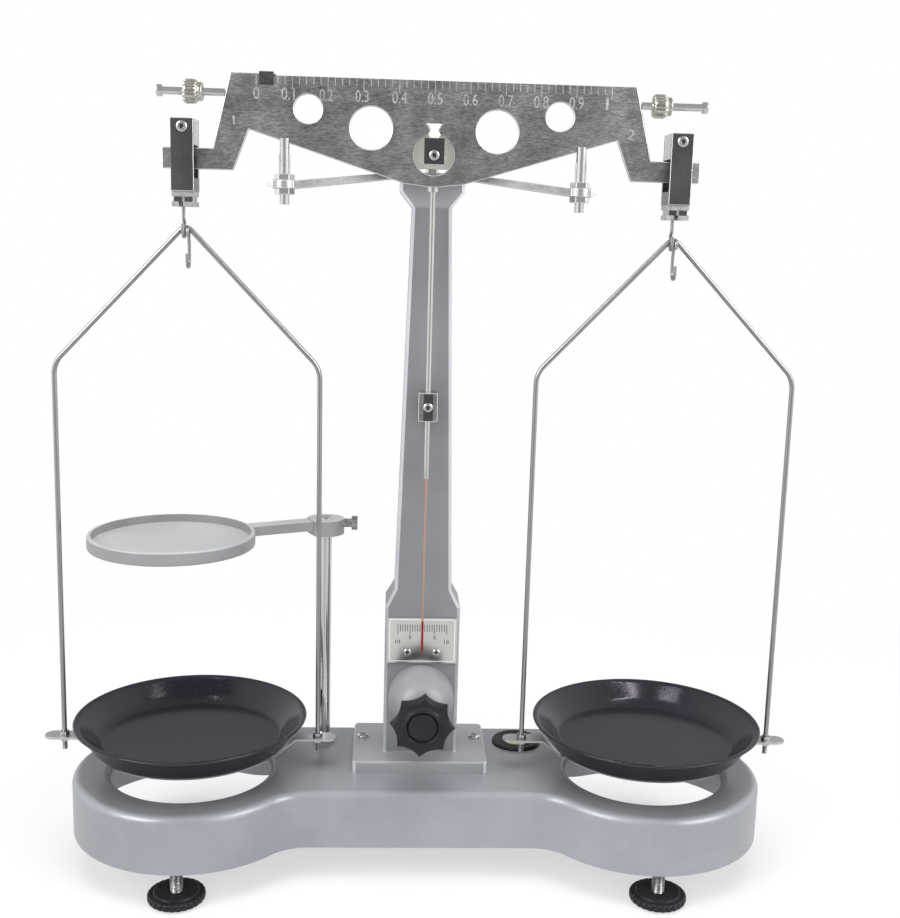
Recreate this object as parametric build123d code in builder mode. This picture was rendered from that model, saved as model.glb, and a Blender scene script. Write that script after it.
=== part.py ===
from build123d import *
from math import cos, radians, sin
import os

# Two-pan laboratory beam balance: cast base, column, swinging beam, pans and specimen tray.
# X runs along the beam, Y to the back and Z up. The beam hangs in the plane Y = 0,
# and the origin lies on the table, under the middle of the beam.

# Running fits and standing gaps, measured on one side
shaft_gap = 0.05
slide_gap = 0.1
seat_gap = 0.3

# Feet: two levelling screws in front, one fixed foot behind
foot_knob_radius = 17.8
foot_knob_height = 7.0
foot_knob_rim = 4.0
foot_knob_step = 1.4
foot_notch_radius = 0.9
foot_notches = 26
foot_stud_radius = 4.0
foot_stud_bottom = 3.0
foot_stud_top = 46.0
foot_stud_bevel = 0.6
foot_inset = 12.0
rear_foot_radius = 11.0
rear_foot_pad = 9.0
rear_foot_taper = -5
rear_foot_edge = 1.0
rear_foot_y = 54.0

# Cast base: two rings joined by a bridge, hollow and open underneath
base_bottom = 22.5
base_height = 37.0
base_top_wall = 6.0
base_wall = 4.0
ring_radius = 76.0
ring_hole_radius = 52.0
bridge_front = -41.0
bridge_back = 68.0
waist_radius = 30.0
base_edge_radius = 5.0
ring_hole_edge_radius = 4.5
foot_boss_radius = 9.0
foot_boss_height = 29.0

# Column: foot flange, square block, tapering shaft and flared head
flange_half_width = 44.5
flange_front = -11.0
flange_back = 54.5
flange_height = 8.0
column_y = 22.5
block_width = 49.0
block_depth = 36.0
block_height = 100.5
shoulder_height = 11.0
shaft_foot_width = 37.4
shaft_foot_depth = 29.0
shaft_height = 245.5
neck_width = 24.8
neck_depth = 25.0
flare_height = 10.0
head_width = 40.6
head_depth = 28.0
head_height = 7.5
column_wall = 4.0
column_bevel = 2.0
flange_corner = 3.0
flange_bevel = 1.0
column_screw_x = 38.2
column_screw_y = 29.5
column_screw_radius = 2.0
column_screw_head_radius = 4.0
column_screw_head_height = 2.4
column_screw_length = 16.0

# Pointer scale plate on the front of the block
scale_width = 46.0
scale_height = 31.0
scale_thickness = 1.5
scale_dome_gap = 1.5
scale_screw_x = 9.5
scale_screw_drop = 8.0
scale_screw_radius = 1.0
scale_screw_head_radius = 1.75
scale_screw_head_height = 0.8
scale_screw_length = 5.0

# Arrest: dome, knob, shaft and cam that raise and lower the beam
arrest_height = 39.9
dome_radius = 21.6
dome_length = 30.0
arrest_shaft_radius = 4.0
knob_radius = 20.6
knob_scallop_radius = 7.5
knob_scallop_depth = 3.1
knob_lobes = 8
knob_depth = 7.5
knob_gap = 16.5
knob_hub_radius = 8.0
knob_socket = 5.0
knob_ring_radius = 12.3
knob_ring_height = 1.5
knob_disc_radius = 9.2
cam_radius = 10.0
cam_root_radius = 6.0
cam_width = 8.0
cam_sweep = 135
lift_travel = 2.5
lift_turn = 90.0
shaft_seat = 2.5

# Lift rod and the bearing that it carries through the beam's keyhole
lift_rod_radius = 4.0
rod_tenon_radius = 3.0
rod_tenon_height = 4.0
bracket_foot_gap = 7.5
bracket_foot_height = 6.0
bracket_foot_half_width = 9.0
bracket_foot_back = 31.0
bracket_half_width = 13.0
bracket_front = 7.5
bracket_thickness = 4.5
bracket_bottom_gap = 6.0
bracket_height = 22.0
tongue_half_width = 4.5
tongue_height = 7.0
agate_height = 1.6
stop_width = 12.1
stop_height = 15.2
stop_thickness = 1.5
stop_drop = 5.9
stop_screw_drop = 0.7
stop_screw_radius = 1.3
stop_screw_head_radius = 3.2
stop_screw_head_height = 1.2
stop_screw_length = 9.0

# Beam: a flat plate with a lug at each end; heights are from the top of the lugs
beam_line_rise = 14.0
knife_span = 150.0
knife_rise = 3.0
beam_thickness = 3.0
beam_top = 44.4
beam_top_inset = 27.6
beam_land_end = -95.0
beam_land_step = 1.0
beam_root_inset = 16.9
beam_lug_reach = 13.6
lug_depth = 12.6
lug_inner_inset = 29.0
notch_inset = 38.3
notch_rise = 11.6
belly_half = 18.0
belly_flank = -17.5
belly_bottom = -19.2
belly_flat_half = 4.0
beam_corner = 0.8
small_hole_x = 76.2
small_hole_rise = 24.6
small_hole_radius = 8.6
large_hole_x = 38.3
large_hole_rise = 14.6
large_hole_radius = 12.8
keyhole_radius = 12.3

# Knives
centre_knife_half_length = 7.0
dovetail_top = 17.8
dovetail_neck = 14.1
dovetail_foot = 11.6
dovetail_top_half = 4.2
dovetail_neck_half = 2.0
dovetail_foot_half = 3.6
end_knife_half_length = 8.0
end_knife_half_width = 3.0
end_knife_root = 5.0

# Rods, balance nuts, rider, pointer and sensitivity bob on the beam
rod_rise = 32.7
rod_radius = 2.25
rod_root_inset = 24.1
rod_reach = 16.7
rod_head_radius = 3.5
rod_head_length = 3.4
rod_head_edge = 1.2
rod_tenon = 1.0
rod_tenon_length = 6.0
nut_radius = 7.15
nut_length = 8.6
nut_hub_radius = 5.5
nut_hub_length = 3.0
left_nut_reach = 0.5
right_nut_inset = 17.4
nut_flutes = 18
nut_flute_radius = 0.7
rider_x = -101.1
rider_length = 8.4
rider_cheek = 1.1
rider_drop = 6.4
rider_roof = 0.9
pointer_radius = 1.6
pointer_cap_radius = 3.6
pointer_cap_height = 3.0
pointer_thin_length = 115.6
pointer_lower_radius = 1.0
pointer_tip_radius = 0.6
pointer_tip_drop = 6.6
pointer_tenon = 1.0
pointer_tenon_length = 5.0
bob_width = 12.0
bob_height = 18.4
bob_depth = 9.0
bob_drop = 154.5
bob_screw_radius = 1.5
bob_screw_head_radius = 3.1
bob_screw_head_height = 1.2
bob_screw_length = 2.6

# Stirrups that hang on the end knives
stirrup_width = 13.5
stirrup_plate = 2.0
stirrup_gap_half = 9.0
stirrup_top = 16.5
stirrup_block_bottom = 1.3
stirrup_plate_bottom = -26.0
stirrup_lower_top = -18.0
stirrup_bearing_width = 8.0
stirrup_bearing_height = 2.5
stirrup_bearing_half = 8.7
stirrup_foot_height = 9.0
stirrup_step = 3.0
stirrup_slot_half = 1.3
stirrup_neck_inset = 0.9
stirrup_screw_drop = 4.9
stirrup_screw_radius = 1.6
stirrup_screw_head_radius = 3.4
stirrup_screw_head_height = 1.1
stirrup_screw_length = 6.0

# Hooks between stirrup and bail, and the specimen hooks on the bails
hook_wire_radius = 1.05
hook_offset = 1.25
hook_root = 3.0
hook_straight = 8.0
hook_tip_rise = 5.0
apex_drop = 50.0
hook_play = 0.35
wire_turn = 0.98
specimen_wire_radius = 1.0
specimen_bend = 4.2
specimen_drop = 17.0
specimen_waist = 4.5
specimen_tip_rise = 4.0

# Bails, carriers and pans
bail_wire_radius = 1.65
bail_half_width = 82.5
bail_shoulder_half = 82.0
bail_shoulder_drop = 82.0
bail_corner_rise = 4.54
apex_radius = 10.0
shoulder_radius = 12.0
carrier_half_length = 95.0
carrier_width = 12.0
carrier_thickness = 1.5
carrier_bend_outer = 68.3
carrier_bend_inner = 55.7
carrier_drop = 11.0
bail_nut_flats = 5.5
bail_nut_height = 2.4
bail_stud = 5.9
pan_seat = 69.5
pan_radius = 75.0
pan_height = 25.2
pan_floor_height = 11.0
pan_floor_thickness = 2.0
pan_floor_radius = 57.0
pan_bottom_height = 7.0
pan_bottom_radius = 60.0
pan_wall = 2.0
pan_lip = 1.0
pan_lip_drop = 1.8
pan_lip_fall = 0.6
pan_lip_inset = 1.5
pan_inner_curve = [(3.5, 2.2), (9.5, 9.0)]
pan_outer_curve = [(9.4, -7.2), (3.8, -14.6)]
pan_foot_radius = 43.0
pan_foot_wall = 3.0
pan_trim = 0.1

# Arrest arms under the beam, with forked pins
arm_height = 5.0
arm_width = 8.0
arm_drop = 7.5
arm_tip = 101.0
arm_tip_width = 1.5
arm_tip_height = 2.0
yoke_half_width = 21.5
arm_root_y = 20.0
yoke_height = 4.0
yoke_front = 13.5
yoke_back = 32.0
yoke_bore_radius = 6.5
pin_x = 90.3
pin_radius = 3.5
pin_lug_radius = 7.0
pin_thread_radius = 3.0
pin_bottom = -32.0
pin_top = 7.0
fork_half_gap = 2.3
fork_floor_gap = 0.4
swing_angle = 2.0
pin_nut_flats = 11.0
pin_nut_height = 3.6

# Round spirit level on the base
level_x = 68.5
level_y = 41.0
level_radius = 16.8
level_height = 2.4
level_edge = 0.8
level_body_radius = 11.5
level_body_depth = 4.5
level_window_radius = 8.6
level_window_depth = 4.0
level_step = 0.6

# Specimen tray on its post
post_x = -65.5
post_y = 35.0
post_radius = 4.25
post_top = 221.0
post_bevel = 0.5
post_nut_flats = 13.0
post_nut_height = 4.5
post_below = 12.0
collar_radius = 12.5
collar_height = 10.0
collar_bottom = 210.0
tray_reach = 103.5
tray_angle = 204.5
tray_top = 219.5
tray_radius = 52.0
tray_height = 8.5
tray_recess = 5.0
tray_rim = 2.5
tray_edge_radius = 1.2
arm_bar_width = 12.0
arm_bar_height = 6.0
arm_bar_root = 10.5
clamp_height = 7.0
clamp_radius = 1.9
clamp_sleeve_radius = 2.9
clamp_sleeve_seat = 1.0
clamp_sleeve_length = 6.0
clamp_head_radius = 4.7
clamp_head_length = 3.8

# Places that follow from the sizes above
foot_y = -(ring_radius - foot_inset)
beam_tip_half = knife_span + beam_lug_reach
beam_top_half = knife_span - beam_top_inset
beam_root_half = knife_span - beam_root_inset
lug_inner_half = knife_span - lug_inner_inset
notch_half = knife_span - notch_inset
rod_root = knife_span - rod_root_inset
rod_tip = knife_span + rod_reach
left_nut_x = -(knife_span + left_nut_reach)
right_nut_x = knife_span - right_nut_inset
base_top = base_bottom + base_height
flange_top = base_top + flange_height
block_top = flange_top + block_height
shoulder_top = block_top + shoulder_height
neck_z = shoulder_top + shaft_height
flare_top = neck_z + flare_height
head_top = flare_top + head_height
beam_line = head_top + beam_line_rise
knife_z = beam_line + knife_rise
block_front = column_y - block_depth / 2
arrest_z = flange_top + arrest_height
scale_z = arrest_z + dome_radius + scale_dome_gap + scale_height / 2
scale_screw_z = scale_z - scale_screw_drop
apex_z = beam_line - apex_drop
arm_top = head_top + yoke_height
arm_lug_top = arm_top - arm_drop
agate_z = knife_z - slide_gap / 2
carrier_tab_top = pan_seat + carrier_drop
bail_bottom = carrier_tab_top - carrier_thickness - bail_nut_height - bail_stud

os.makedirs("parts", exist_ok=True)


def upright(y):
    """The plane that faces the front at depth y, with local X along X and local Y along Z."""
    return Plane(origin=(0, y, 0), x_dir=(1, 0, 0), z_dir=(0, -1, 0))


def sideways(x, y, z, way):
    """The plane at a point that faces along X, with local X along Y and local Y along Z."""
    return Plane(origin=(x, y, z), x_dir=(0, way, 0), z_dir=(way, 0, 0))


def column_section(width, depth, z, bevel):
    """A rectangle of the column at height z, with its corners cut off."""
    with BuildSketch(Plane(origin=(0, column_y, z))) as section:
        Rectangle(width, depth)
        chamfer(section.vertices(), bevel)
    return section.sketch


def wire(plane, points, bends, radius):
    """A round wire bent along a line through the points of the plane."""
    with BuildLine(plane) as path:
        FilletPolyline(*points, radius=bends)
    with BuildSketch(Plane(origin=path.line @ 0, z_dir=path.line % 0)) as profile:
        Circle(radius)
    sweep(profile.sketch, path=path.line)


def hex_nut(plane, flats, height, bore):
    """A hexagon nut with its hole, standing on the plane."""
    with BuildSketch(plane) as ring:
        RegularPolygon(radius=flats / 2, side_count=6, major_radius=False)
        Circle(bore, mode=Mode.SUBTRACT)
    extrude(ring.sketch, amount=height)


def headed_screw(plane, radius, length, head_radius, head_height):
    """A cross-head screw: shank below the plane, domed head above it."""
    with BuildSketch(plane) as shank:
        Circle(radius)
    extrude(shank.sketch, amount=-length)
    with BuildSketch(plane) as head:
        Circle(head_radius)
    extrude(head.sketch, amount=head_height)
    with BuildSketch(plane.offset(head_height)) as recess:
        Rectangle(head_radius * 1.1, head_radius * 0.28)
        Rectangle(head_radius * 0.28, head_radius * 1.1)
    extrude(recess.sketch, amount=-head_height * 0.6, mode=Mode.SUBTRACT)


# Base casting
with BuildSketch() as base_outline:
    with Locations((-knife_span, 0), (knife_span, 0)):
        Circle(ring_radius)
    with Locations((0, (bridge_front + bridge_back) / 2)):
        Rectangle(2 * knife_span, bridge_back - bridge_front)
    waist = [v for v in base_outline.vertices() if abs(v.X) < knife_span - 1]
    fillet(waist, waist_radius)

with BuildPart() as base_casting:
    with BuildSketch(Plane.XY.offset(base_bottom)):
        add(base_outline.sketch)
    extrude(amount=base_height)
    fillet(base_casting.faces().sort_by(Axis.Z)[-1].edges(), base_edge_radius)
    with BuildSketch(Plane.XY.offset(base_bottom)):
        with Locations((-knife_span, 0), (knife_span, 0)):
            Circle(ring_hole_radius)
    extrude(amount=base_height, mode=Mode.SUBTRACT)
    rims = base_casting.faces().sort_by(Axis.Z)[-1].inner_wires().edges()
    fillet(rims, ring_hole_edge_radius)
    with BuildSketch(Plane.XY.offset(base_bottom)):
        add(base_outline.sketch)
        offset(amount=-base_wall, mode=Mode.REPLACE)
    extrude(amount=base_height - base_top_wall, mode=Mode.SUBTRACT)
    boss_top = base_top - base_top_wall
    with BuildSketch(Plane.XY.offset(boss_top)):
        with Locations((-knife_span, foot_y), (knife_span, foot_y)):
            Circle(foot_boss_radius)
    extrude(amount=-foot_boss_height)
    with BuildSketch(Plane.XY.offset(boss_top)):
        with Locations((0, rear_foot_y)):
            Circle(rear_foot_radius)
    extrude(amount=-(boss_top - base_bottom))
    with BuildSketch(Plane.XY.offset(boss_top)):
        with Locations((-knife_span, foot_y), (knife_span, foot_y)):
            Circle(foot_stud_radius + shaft_gap)
    extrude(amount=-foot_boss_height, mode=Mode.SUBTRACT)
    with BuildSketch(Plane.XY.offset(base_top)):
        with Locations((-column_screw_x, column_screw_y), (column_screw_x, column_screw_y)):
            Circle(column_screw_radius + shaft_gap)
        with Locations((post_x, post_y)):
            Circle(post_radius + shaft_gap)
        with Locations((level_x, level_y)):
            Circle(level_body_radius + shaft_gap)
    extrude(amount=-base_top_wall, mode=Mode.SUBTRACT)
base_casting.part.label = "base_casting"
export_step(base_casting.part, "parts/base_casting.step")

# Rear foot under the bridge
with BuildPart() as rear_foot:
    with BuildSketch():
        with Locations((0, rear_foot_y)):
            Circle(rear_foot_pad)
    extrude(amount=base_bottom, taper=rear_foot_taper)
    fillet(rear_foot.faces().sort_by(Axis.Z)[0].edges(), rear_foot_edge)
rear_foot.part.label = "rear_foot"
export_step(rear_foot.part, "parts/rear_foot.step")

# Front feet: threaded stud that rises and falls, notched knob that turns
for side, hand in ((-1, "left"), (1, "right")):
    foot_x = side * knife_span
    with BuildPart() as foot_stud:
        with BuildSketch(Plane(origin=(foot_x, foot_y, foot_stud_bottom))):
            Circle(foot_stud_radius)
        extrude(amount=foot_stud_top - foot_stud_bottom)
        chamfer(foot_stud.faces().sort_by(Axis.Z)[-1].edges(), foot_stud_bevel)
    foot_stud.part.label = f"{hand}_foot_stud"
    export_step(foot_stud.part, f"parts/{hand}_foot_stud.step")

    with BuildPart() as foot_knob:
        with BuildSketch(Plane(origin=(foot_x, foot_y, 0))):
            Circle(foot_knob_radius)
            with PolarLocations(foot_knob_radius, foot_notches):
                Circle(foot_notch_radius, mode=Mode.SUBTRACT)
        extrude(amount=foot_knob_height)
        crown = Plane(origin=(foot_x, foot_y, foot_knob_height))
        with BuildSketch(crown):
            Circle(foot_knob_radius)
            Circle(foot_knob_radius - foot_knob_rim, mode=Mode.SUBTRACT)
        extrude(amount=-foot_knob_step, mode=Mode.SUBTRACT)
        with BuildSketch(crown):
            Circle(foot_stud_radius + shaft_gap)
        extrude(amount=-(foot_knob_height - foot_stud_bottom + shaft_gap), mode=Mode.SUBTRACT)
    foot_knob.part.label = f"{hand}_foot_knob"
    export_step(foot_knob.part, f"parts/{hand}_foot_knob.step")

# Column: flange, block, shoulder, shaft, flare and head in one hollow casting
shaft_inner_width = shaft_foot_width - 2 * column_wall
shaft_inner_depth = shaft_foot_depth - 2 * column_wall
neck_inner_width = neck_width - 2 * column_wall
neck_inner_depth = neck_depth - 2 * column_wall
inner_bevel = column_bevel / 2
flange_y = (flange_front + flange_back) / 2

with BuildPart() as column:
    with BuildSketch(Plane(origin=(0, flange_y, base_top))):
        RectangleRounded(2 * flange_half_width, flange_back - flange_front, flange_corner)
    extrude(amount=flange_height)
    chamfer(column.faces().sort_by(Axis.Z)[-1].edges(), flange_bevel)
    add(column_section(block_width, block_depth, flange_top, column_bevel))
    extrude(amount=block_height)
    loft(sections=[
        column_section(block_width, block_depth, block_top, column_bevel),
        column_section(shaft_foot_width, shaft_foot_depth, shoulder_top, column_bevel),
    ])
    loft(sections=[
        column_section(shaft_foot_width, shaft_foot_depth, shoulder_top, column_bevel),
        column_section(neck_width, neck_depth, neck_z, column_bevel),
    ])
    loft(sections=[
        column_section(neck_width, neck_depth, neck_z, column_bevel),
        column_section(head_width, head_depth, flare_top, column_bevel),
    ])
    add(column_section(head_width, head_depth, flare_top, column_bevel))
    extrude(amount=head_height)
    with BuildSketch(Plane(origin=(0, column_y, base_top))):
        Rectangle(block_width - 2 * column_wall, block_depth - 2 * column_wall)
    extrude(amount=flange_height + block_height - column_wall, mode=Mode.SUBTRACT)
    loft(sections=[
        column_section(shaft_inner_width, shaft_inner_depth, shoulder_top, inner_bevel),
        column_section(neck_inner_width, neck_inner_depth, neck_z, inner_bevel),
    ], mode=Mode.SUBTRACT)
    with BuildSketch(Plane(origin=(0, column_y, arrest_z))):
        Circle(lift_rod_radius + shaft_gap)
    extrude(amount=head_top - arrest_z, mode=Mode.SUBTRACT)
    with BuildSketch(Plane.XY.offset(base_top)):
        with Locations((-column_screw_x, column_screw_y), (column_screw_x, column_screw_y)):
            Circle(column_screw_radius + shaft_gap)
    extrude(amount=flange_height, mode=Mode.SUBTRACT)
    with BuildSketch(upright(block_front)):
        with Locations((0, arrest_z)):
            Circle(arrest_shaft_radius + shaft_gap)
    extrude(amount=-(block_depth - column_wall + shaft_seat), mode=Mode.SUBTRACT)
    with BuildSketch(upright(block_front)):
        with Locations((-scale_screw_x, scale_screw_z), (scale_screw_x, scale_screw_z)):
            Circle(scale_screw_radius + shaft_gap)
    extrude(amount=-column_wall, mode=Mode.SUBTRACT)
column.part.label = "column"
export_step(column.part, "parts/column.step")

# Two cross-head screws hold the flange down on the base
with BuildPart() as column_screws:
    for side in (-1, 1):
        headed_screw(
            Plane(origin=(side * column_screw_x, column_screw_y, flange_top)),
            column_screw_radius,
            column_screw_length,
            column_screw_head_radius,
            column_screw_head_height,
        )
column_screws.part.label = "column_screws"
export_step(column_screws.part, "parts/column_screws.step")

# Pointer scale and its two screws
scale_front = block_front - scale_thickness

with BuildPart() as scale_plate:
    with BuildSketch(upright(block_front)):
        with Locations((0, scale_z)):
            Rectangle(scale_width, scale_height)
        with Locations((-scale_screw_x, scale_screw_z), (scale_screw_x, scale_screw_z)):
            Circle(scale_screw_radius + shaft_gap, mode=Mode.SUBTRACT)
    extrude(amount=scale_thickness)
scale_plate.part.label = "scale_plate"
export_step(scale_plate.part, "parts/scale_plate.step")

with BuildPart() as scale_screws:
    for side in (-1, 1):
        headed_screw(
            Plane(
                origin=(side * scale_screw_x, scale_front, scale_screw_z),
                x_dir=(1, 0, 0),
                z_dir=(0, -1, 0),
            ),
            scale_screw_radius,
            scale_screw_length,
            scale_screw_head_radius,
            scale_screw_head_height,
        )
scale_screws.part.label = "scale_screws"
export_step(scale_screws.part, "parts/scale_screws.step")

# Arrest dome on the block, with the bore for the shaft
dome_bore = arrest_shaft_radius + shaft_gap
dome_nose = block_front - dome_length

with BuildPart() as arrest_dome:
    with BuildSketch(Plane.XY.offset(arrest_z)):
        with BuildLine():
            Polyline(
                (dome_radius, block_front),
                (dome_bore, block_front),
                (dome_bore, dome_nose),
            )
            Spline(
                (dome_bore, dome_nose),
                (dome_radius, block_front),
                tangents=((1, 0), (0, 1)),
            )
        make_face()
    revolve(axis=Axis((0, block_front, arrest_z), (0, 1, 0)))
arrest_dome.part.label = "arrest_dome"
export_step(arrest_dome.part, "parts/arrest_dome.step")

# Arrest shaft with the spiral cam that carries the lift rod
knob_back = dome_nose - knob_gap
shaft_front = knob_back - knob_socket
knob_front = knob_back - knob_depth
shaft_end = block_front + block_depth - column_wall + shaft_seat - seat_gap
cam_points = []
for degree in range(0, cam_sweep + 1, 15):
    reach = cam_radius - lift_travel * degree / lift_turn
    cam_points.append((reach * sin(radians(degree)), arrest_z + reach * cos(radians(degree))))
cam_low = (0, arrest_z - cam_root_radius)
cam_left = (-cam_radius * sin(radians(60)), arrest_z + cam_radius * cos(radians(60)))
cam_lead = (-cam_radius * sin(radians(30)), arrest_z + cam_radius * cos(radians(30)))

with BuildPart() as arrest_shaft:
    with BuildSketch(upright(shaft_front)):
        with Locations((0, arrest_z)):
            Circle(arrest_shaft_radius)
    extrude(amount=-(shaft_end - shaft_front))
    with BuildSketch(upright(column_y)):
        with BuildLine():
            Spline(*cam_points)
            Polyline(cam_points[-1], cam_low, cam_left)
            ThreePointArc(cam_left, cam_lead, cam_points[0])
        make_face()
    extrude(amount=cam_width / 2, both=True)
arrest_shaft.part.label = "arrest_shaft"
export_step(arrest_shaft.part, "parts/arrest_shaft.step")

# Arrest knob with pointed lobes
scallop_centre = knob_radius + knob_scallop_radius - knob_scallop_depth

with BuildPart() as arrest_knob:
    with BuildSketch(upright(knob_back)):
        with Locations((0, arrest_z)):
            Circle(knob_radius)
            with PolarLocations(scallop_centre, knob_lobes, start_angle=180 / knob_lobes):
                Circle(knob_scallop_radius, mode=Mode.SUBTRACT)
    extrude(amount=knob_depth)
    with BuildSketch(upright(knob_front)):
        with Locations((0, arrest_z)):
            Circle(knob_ring_radius)
            Circle(knob_disc_radius, mode=Mode.SUBTRACT)
    extrude(amount=knob_ring_height)
    with BuildSketch(upright(knob_back)):
        with Locations((0, arrest_z)):
            Circle(knob_hub_radius)
    extrude(amount=-(knob_gap - 2 * seat_gap))
    with BuildSketch(upright(block_front)):
        with Locations((0, arrest_z)):
            Circle(arrest_shaft_radius)
    extrude(amount=block_front - shaft_front, mode=Mode.SUBTRACT)
arrest_knob.part.label = "arrest_knob"
export_step(arrest_knob.part, "parts/arrest_knob.step")

# Lift rod inside the column
rod_bottom = arrest_z + cam_radius + seat_gap
foot_bottom = head_top + bracket_foot_gap

with BuildPart() as lift_rod:
    with BuildSketch(Plane(origin=(0, column_y, rod_bottom))):
        Circle(lift_rod_radius)
    extrude(amount=foot_bottom - rod_bottom)
    with BuildSketch(Plane(origin=(0, column_y, foot_bottom))):
        Circle(rod_tenon_radius)
    extrude(amount=rod_tenon_height)
lift_rod.part.label = "lift_rod"
export_step(lift_rod.part, "parts/lift_rod.step")

# Bearing bracket: foot on the rod, upright plate, tongue through the beam
bracket_bottom = head_top + bracket_bottom_gap
bracket_back = bracket_front + bracket_thickness
agate_bottom = agate_z - agate_height
tongue_bottom = agate_bottom - tongue_height

with BuildPart() as bearing_bracket:
    with BuildSketch(Plane.XY.offset(foot_bottom)):
        with Locations((0, (bracket_back + bracket_foot_back) / 2)):
            Rectangle(2 * bracket_foot_half_width, bracket_foot_back - bracket_back)
    extrude(amount=bracket_foot_height)
    with BuildSketch(upright(bracket_back)):
        with Locations((0, bracket_bottom + bracket_height / 2)):
            Rectangle(2 * bracket_half_width, bracket_height)
    extrude(amount=bracket_thickness)
    with BuildSketch(upright(bracket_front)):
        with Locations((0, tongue_bottom + tongue_height / 2)):
            Rectangle(2 * tongue_half_width, tongue_height)
    extrude(amount=2 * bracket_front)
    with BuildSketch(Plane(origin=(0, column_y, foot_bottom))):
        Circle(rod_tenon_radius)
    extrude(amount=rod_tenon_height, mode=Mode.SUBTRACT)
    with BuildSketch(upright(-bracket_front)):
        with Locations((0, beam_line - stop_screw_drop)):
            Circle(stop_screw_radius + shaft_gap)
    extrude(amount=-stop_screw_length, mode=Mode.SUBTRACT)
bearing_bracket.part.label = "bearing_bracket"
export_step(bearing_bracket.part, "parts/bearing_bracket.step")

# Polished bearing stone on the tongue
with BuildPart() as centre_bearing:
    with BuildSketch(Plane.XY.offset(agate_bottom)):
        Rectangle(2 * tongue_half_width, 2 * bracket_front)
    extrude(amount=agate_height)
centre_bearing.part.label = "centre_bearing"
export_step(centre_bearing.part, "parts/centre_bearing.step")

# Stop plate in front of the bearing, with its screw
with BuildPart() as stop_plate:
    with BuildSketch(upright(-bracket_front)):
        with Locations((0, beam_line - stop_drop + stop_height / 2)):
            Rectangle(stop_width, stop_height)
        with Locations((0, beam_line - stop_screw_drop)):
            Circle(stop_screw_radius + shaft_gap, mode=Mode.SUBTRACT)
    extrude(amount=stop_thickness)
stop_plate.part.label = "stop_plate"
export_step(stop_plate.part, "parts/stop_plate.step")

with BuildPart() as stop_screw:
    headed_screw(
        Plane(
            origin=(0, -bracket_front - stop_thickness, beam_line - stop_screw_drop),
            x_dir=(1, 0, 0),
            z_dir=(0, -1, 0),
        ),
        stop_screw_radius,
        stop_screw_length,
        stop_screw_head_radius,
        stop_screw_head_height,
    )
stop_screw.part.label = "stop_screw"
export_step(stop_screw.part, "parts/stop_screw.step")

# Beam plate with its holes, keyhole and knife seats
beam_right = [
    (beam_root_half, beam_line),
    (beam_tip_half, beam_line),
    (beam_tip_half, beam_line - lug_depth),
    (lug_inner_half, beam_line - lug_depth),
    (notch_half, beam_line + notch_rise),
    (belly_half, beam_line + belly_flank),
    (belly_flat_half, beam_line + belly_bottom),
]
beam_left = [(-x, z) for x, z in reversed(beam_right)]
land_z = beam_line + beam_top
edge_z = land_z - beam_land_step
beam_crown = [
    (-beam_top_half, land_z),
    (beam_land_end, land_z),
    (beam_land_end, edge_z),
    (beam_top_half, edge_z),
]
dovetail = [
    (dovetail_foot_half, beam_line + dovetail_foot),
    (dovetail_neck_half, beam_line + dovetail_neck),
    (dovetail_top_half, beam_line + dovetail_top),
    (-dovetail_top_half, beam_line + dovetail_top),
    (-dovetail_neck_half, beam_line + dovetail_neck),
    (-dovetail_foot_half, beam_line + dovetail_foot),
]
rod_z = beam_line + rod_rise
half_beam = beam_thickness / 2

with BuildPart() as beam:
    with BuildSketch(upright(0)) as beam_face:
        with BuildLine():
            Polyline(*beam_crown, *beam_right, *beam_left, close=True)
        make_face()
        lug_corners = [v for v in beam_face.vertices() if abs(v.X) > beam_tip_half - 1]
        fillet(lug_corners, beam_corner)
        with Locations((-small_hole_x, beam_line + small_hole_rise),
                       (small_hole_x, beam_line + small_hole_rise)):
            Circle(small_hole_radius, mode=Mode.SUBTRACT)
        with Locations((-large_hole_x, beam_line + large_hole_rise),
                       (large_hole_x, beam_line + large_hole_rise)):
            Circle(large_hole_radius, mode=Mode.SUBTRACT)
        with Locations((0, beam_line)):
            Circle(keyhole_radius, mode=Mode.SUBTRACT)
        with BuildLine():
            Polyline(*dovetail, close=True)
        make_face(mode=Mode.SUBTRACT)
        with Locations((-knife_span, beam_line), (knife_span, beam_line)):
            Rectangle(
                2 * end_knife_half_width,
                end_knife_root,
                align=(Align.CENTER, Align.MAX),
                mode=Mode.SUBTRACT,
            )
    extrude(amount=half_beam, both=True)
    for side in (-1, 1):
        with BuildSketch(sideways(side * rod_root, 0, rod_z, side)):
            Circle(rod_tenon)
        extrude(amount=-rod_tenon_length, mode=Mode.SUBTRACT)
    with BuildSketch(Plane.XY.offset(beam_line + belly_bottom)):
        Circle(pointer_tenon)
    extrude(amount=pointer_tenon_length, mode=Mode.SUBTRACT)
beam.part.label = "beam"
export_step(beam.part, "parts/beam.step")

# Centre knife: dovetail root above, edge below
with BuildPart() as centre_knife:
    with BuildSketch(upright(0)):
        with BuildLine():
            Polyline((0, knife_z), *dovetail, close=True)
        make_face()
    extrude(amount=centre_knife_half_length, both=True)
centre_knife.part.label = "centre_knife"
export_step(centre_knife.part, "parts/centre_knife.step")

# End knives, edges upwards
with BuildPart() as end_knives:
    for side in (-1, 1):
        knife_x = side * knife_span
        with BuildSketch(upright(0)):
            with BuildLine():
                Polyline(
                    (knife_x - end_knife_half_width, beam_line - end_knife_root),
                    (knife_x + end_knife_half_width, beam_line - end_knife_root),
                    (knife_x + end_knife_half_width, beam_line),
                    (knife_x, knife_z),
                    (knife_x - end_knife_half_width, beam_line),
                    close=True,
                )
            make_face()
        extrude(amount=end_knife_half_length, both=True)
end_knives.part.label = "end_knives"
export_step(end_knives.part, "parts/end_knives.step")

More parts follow.
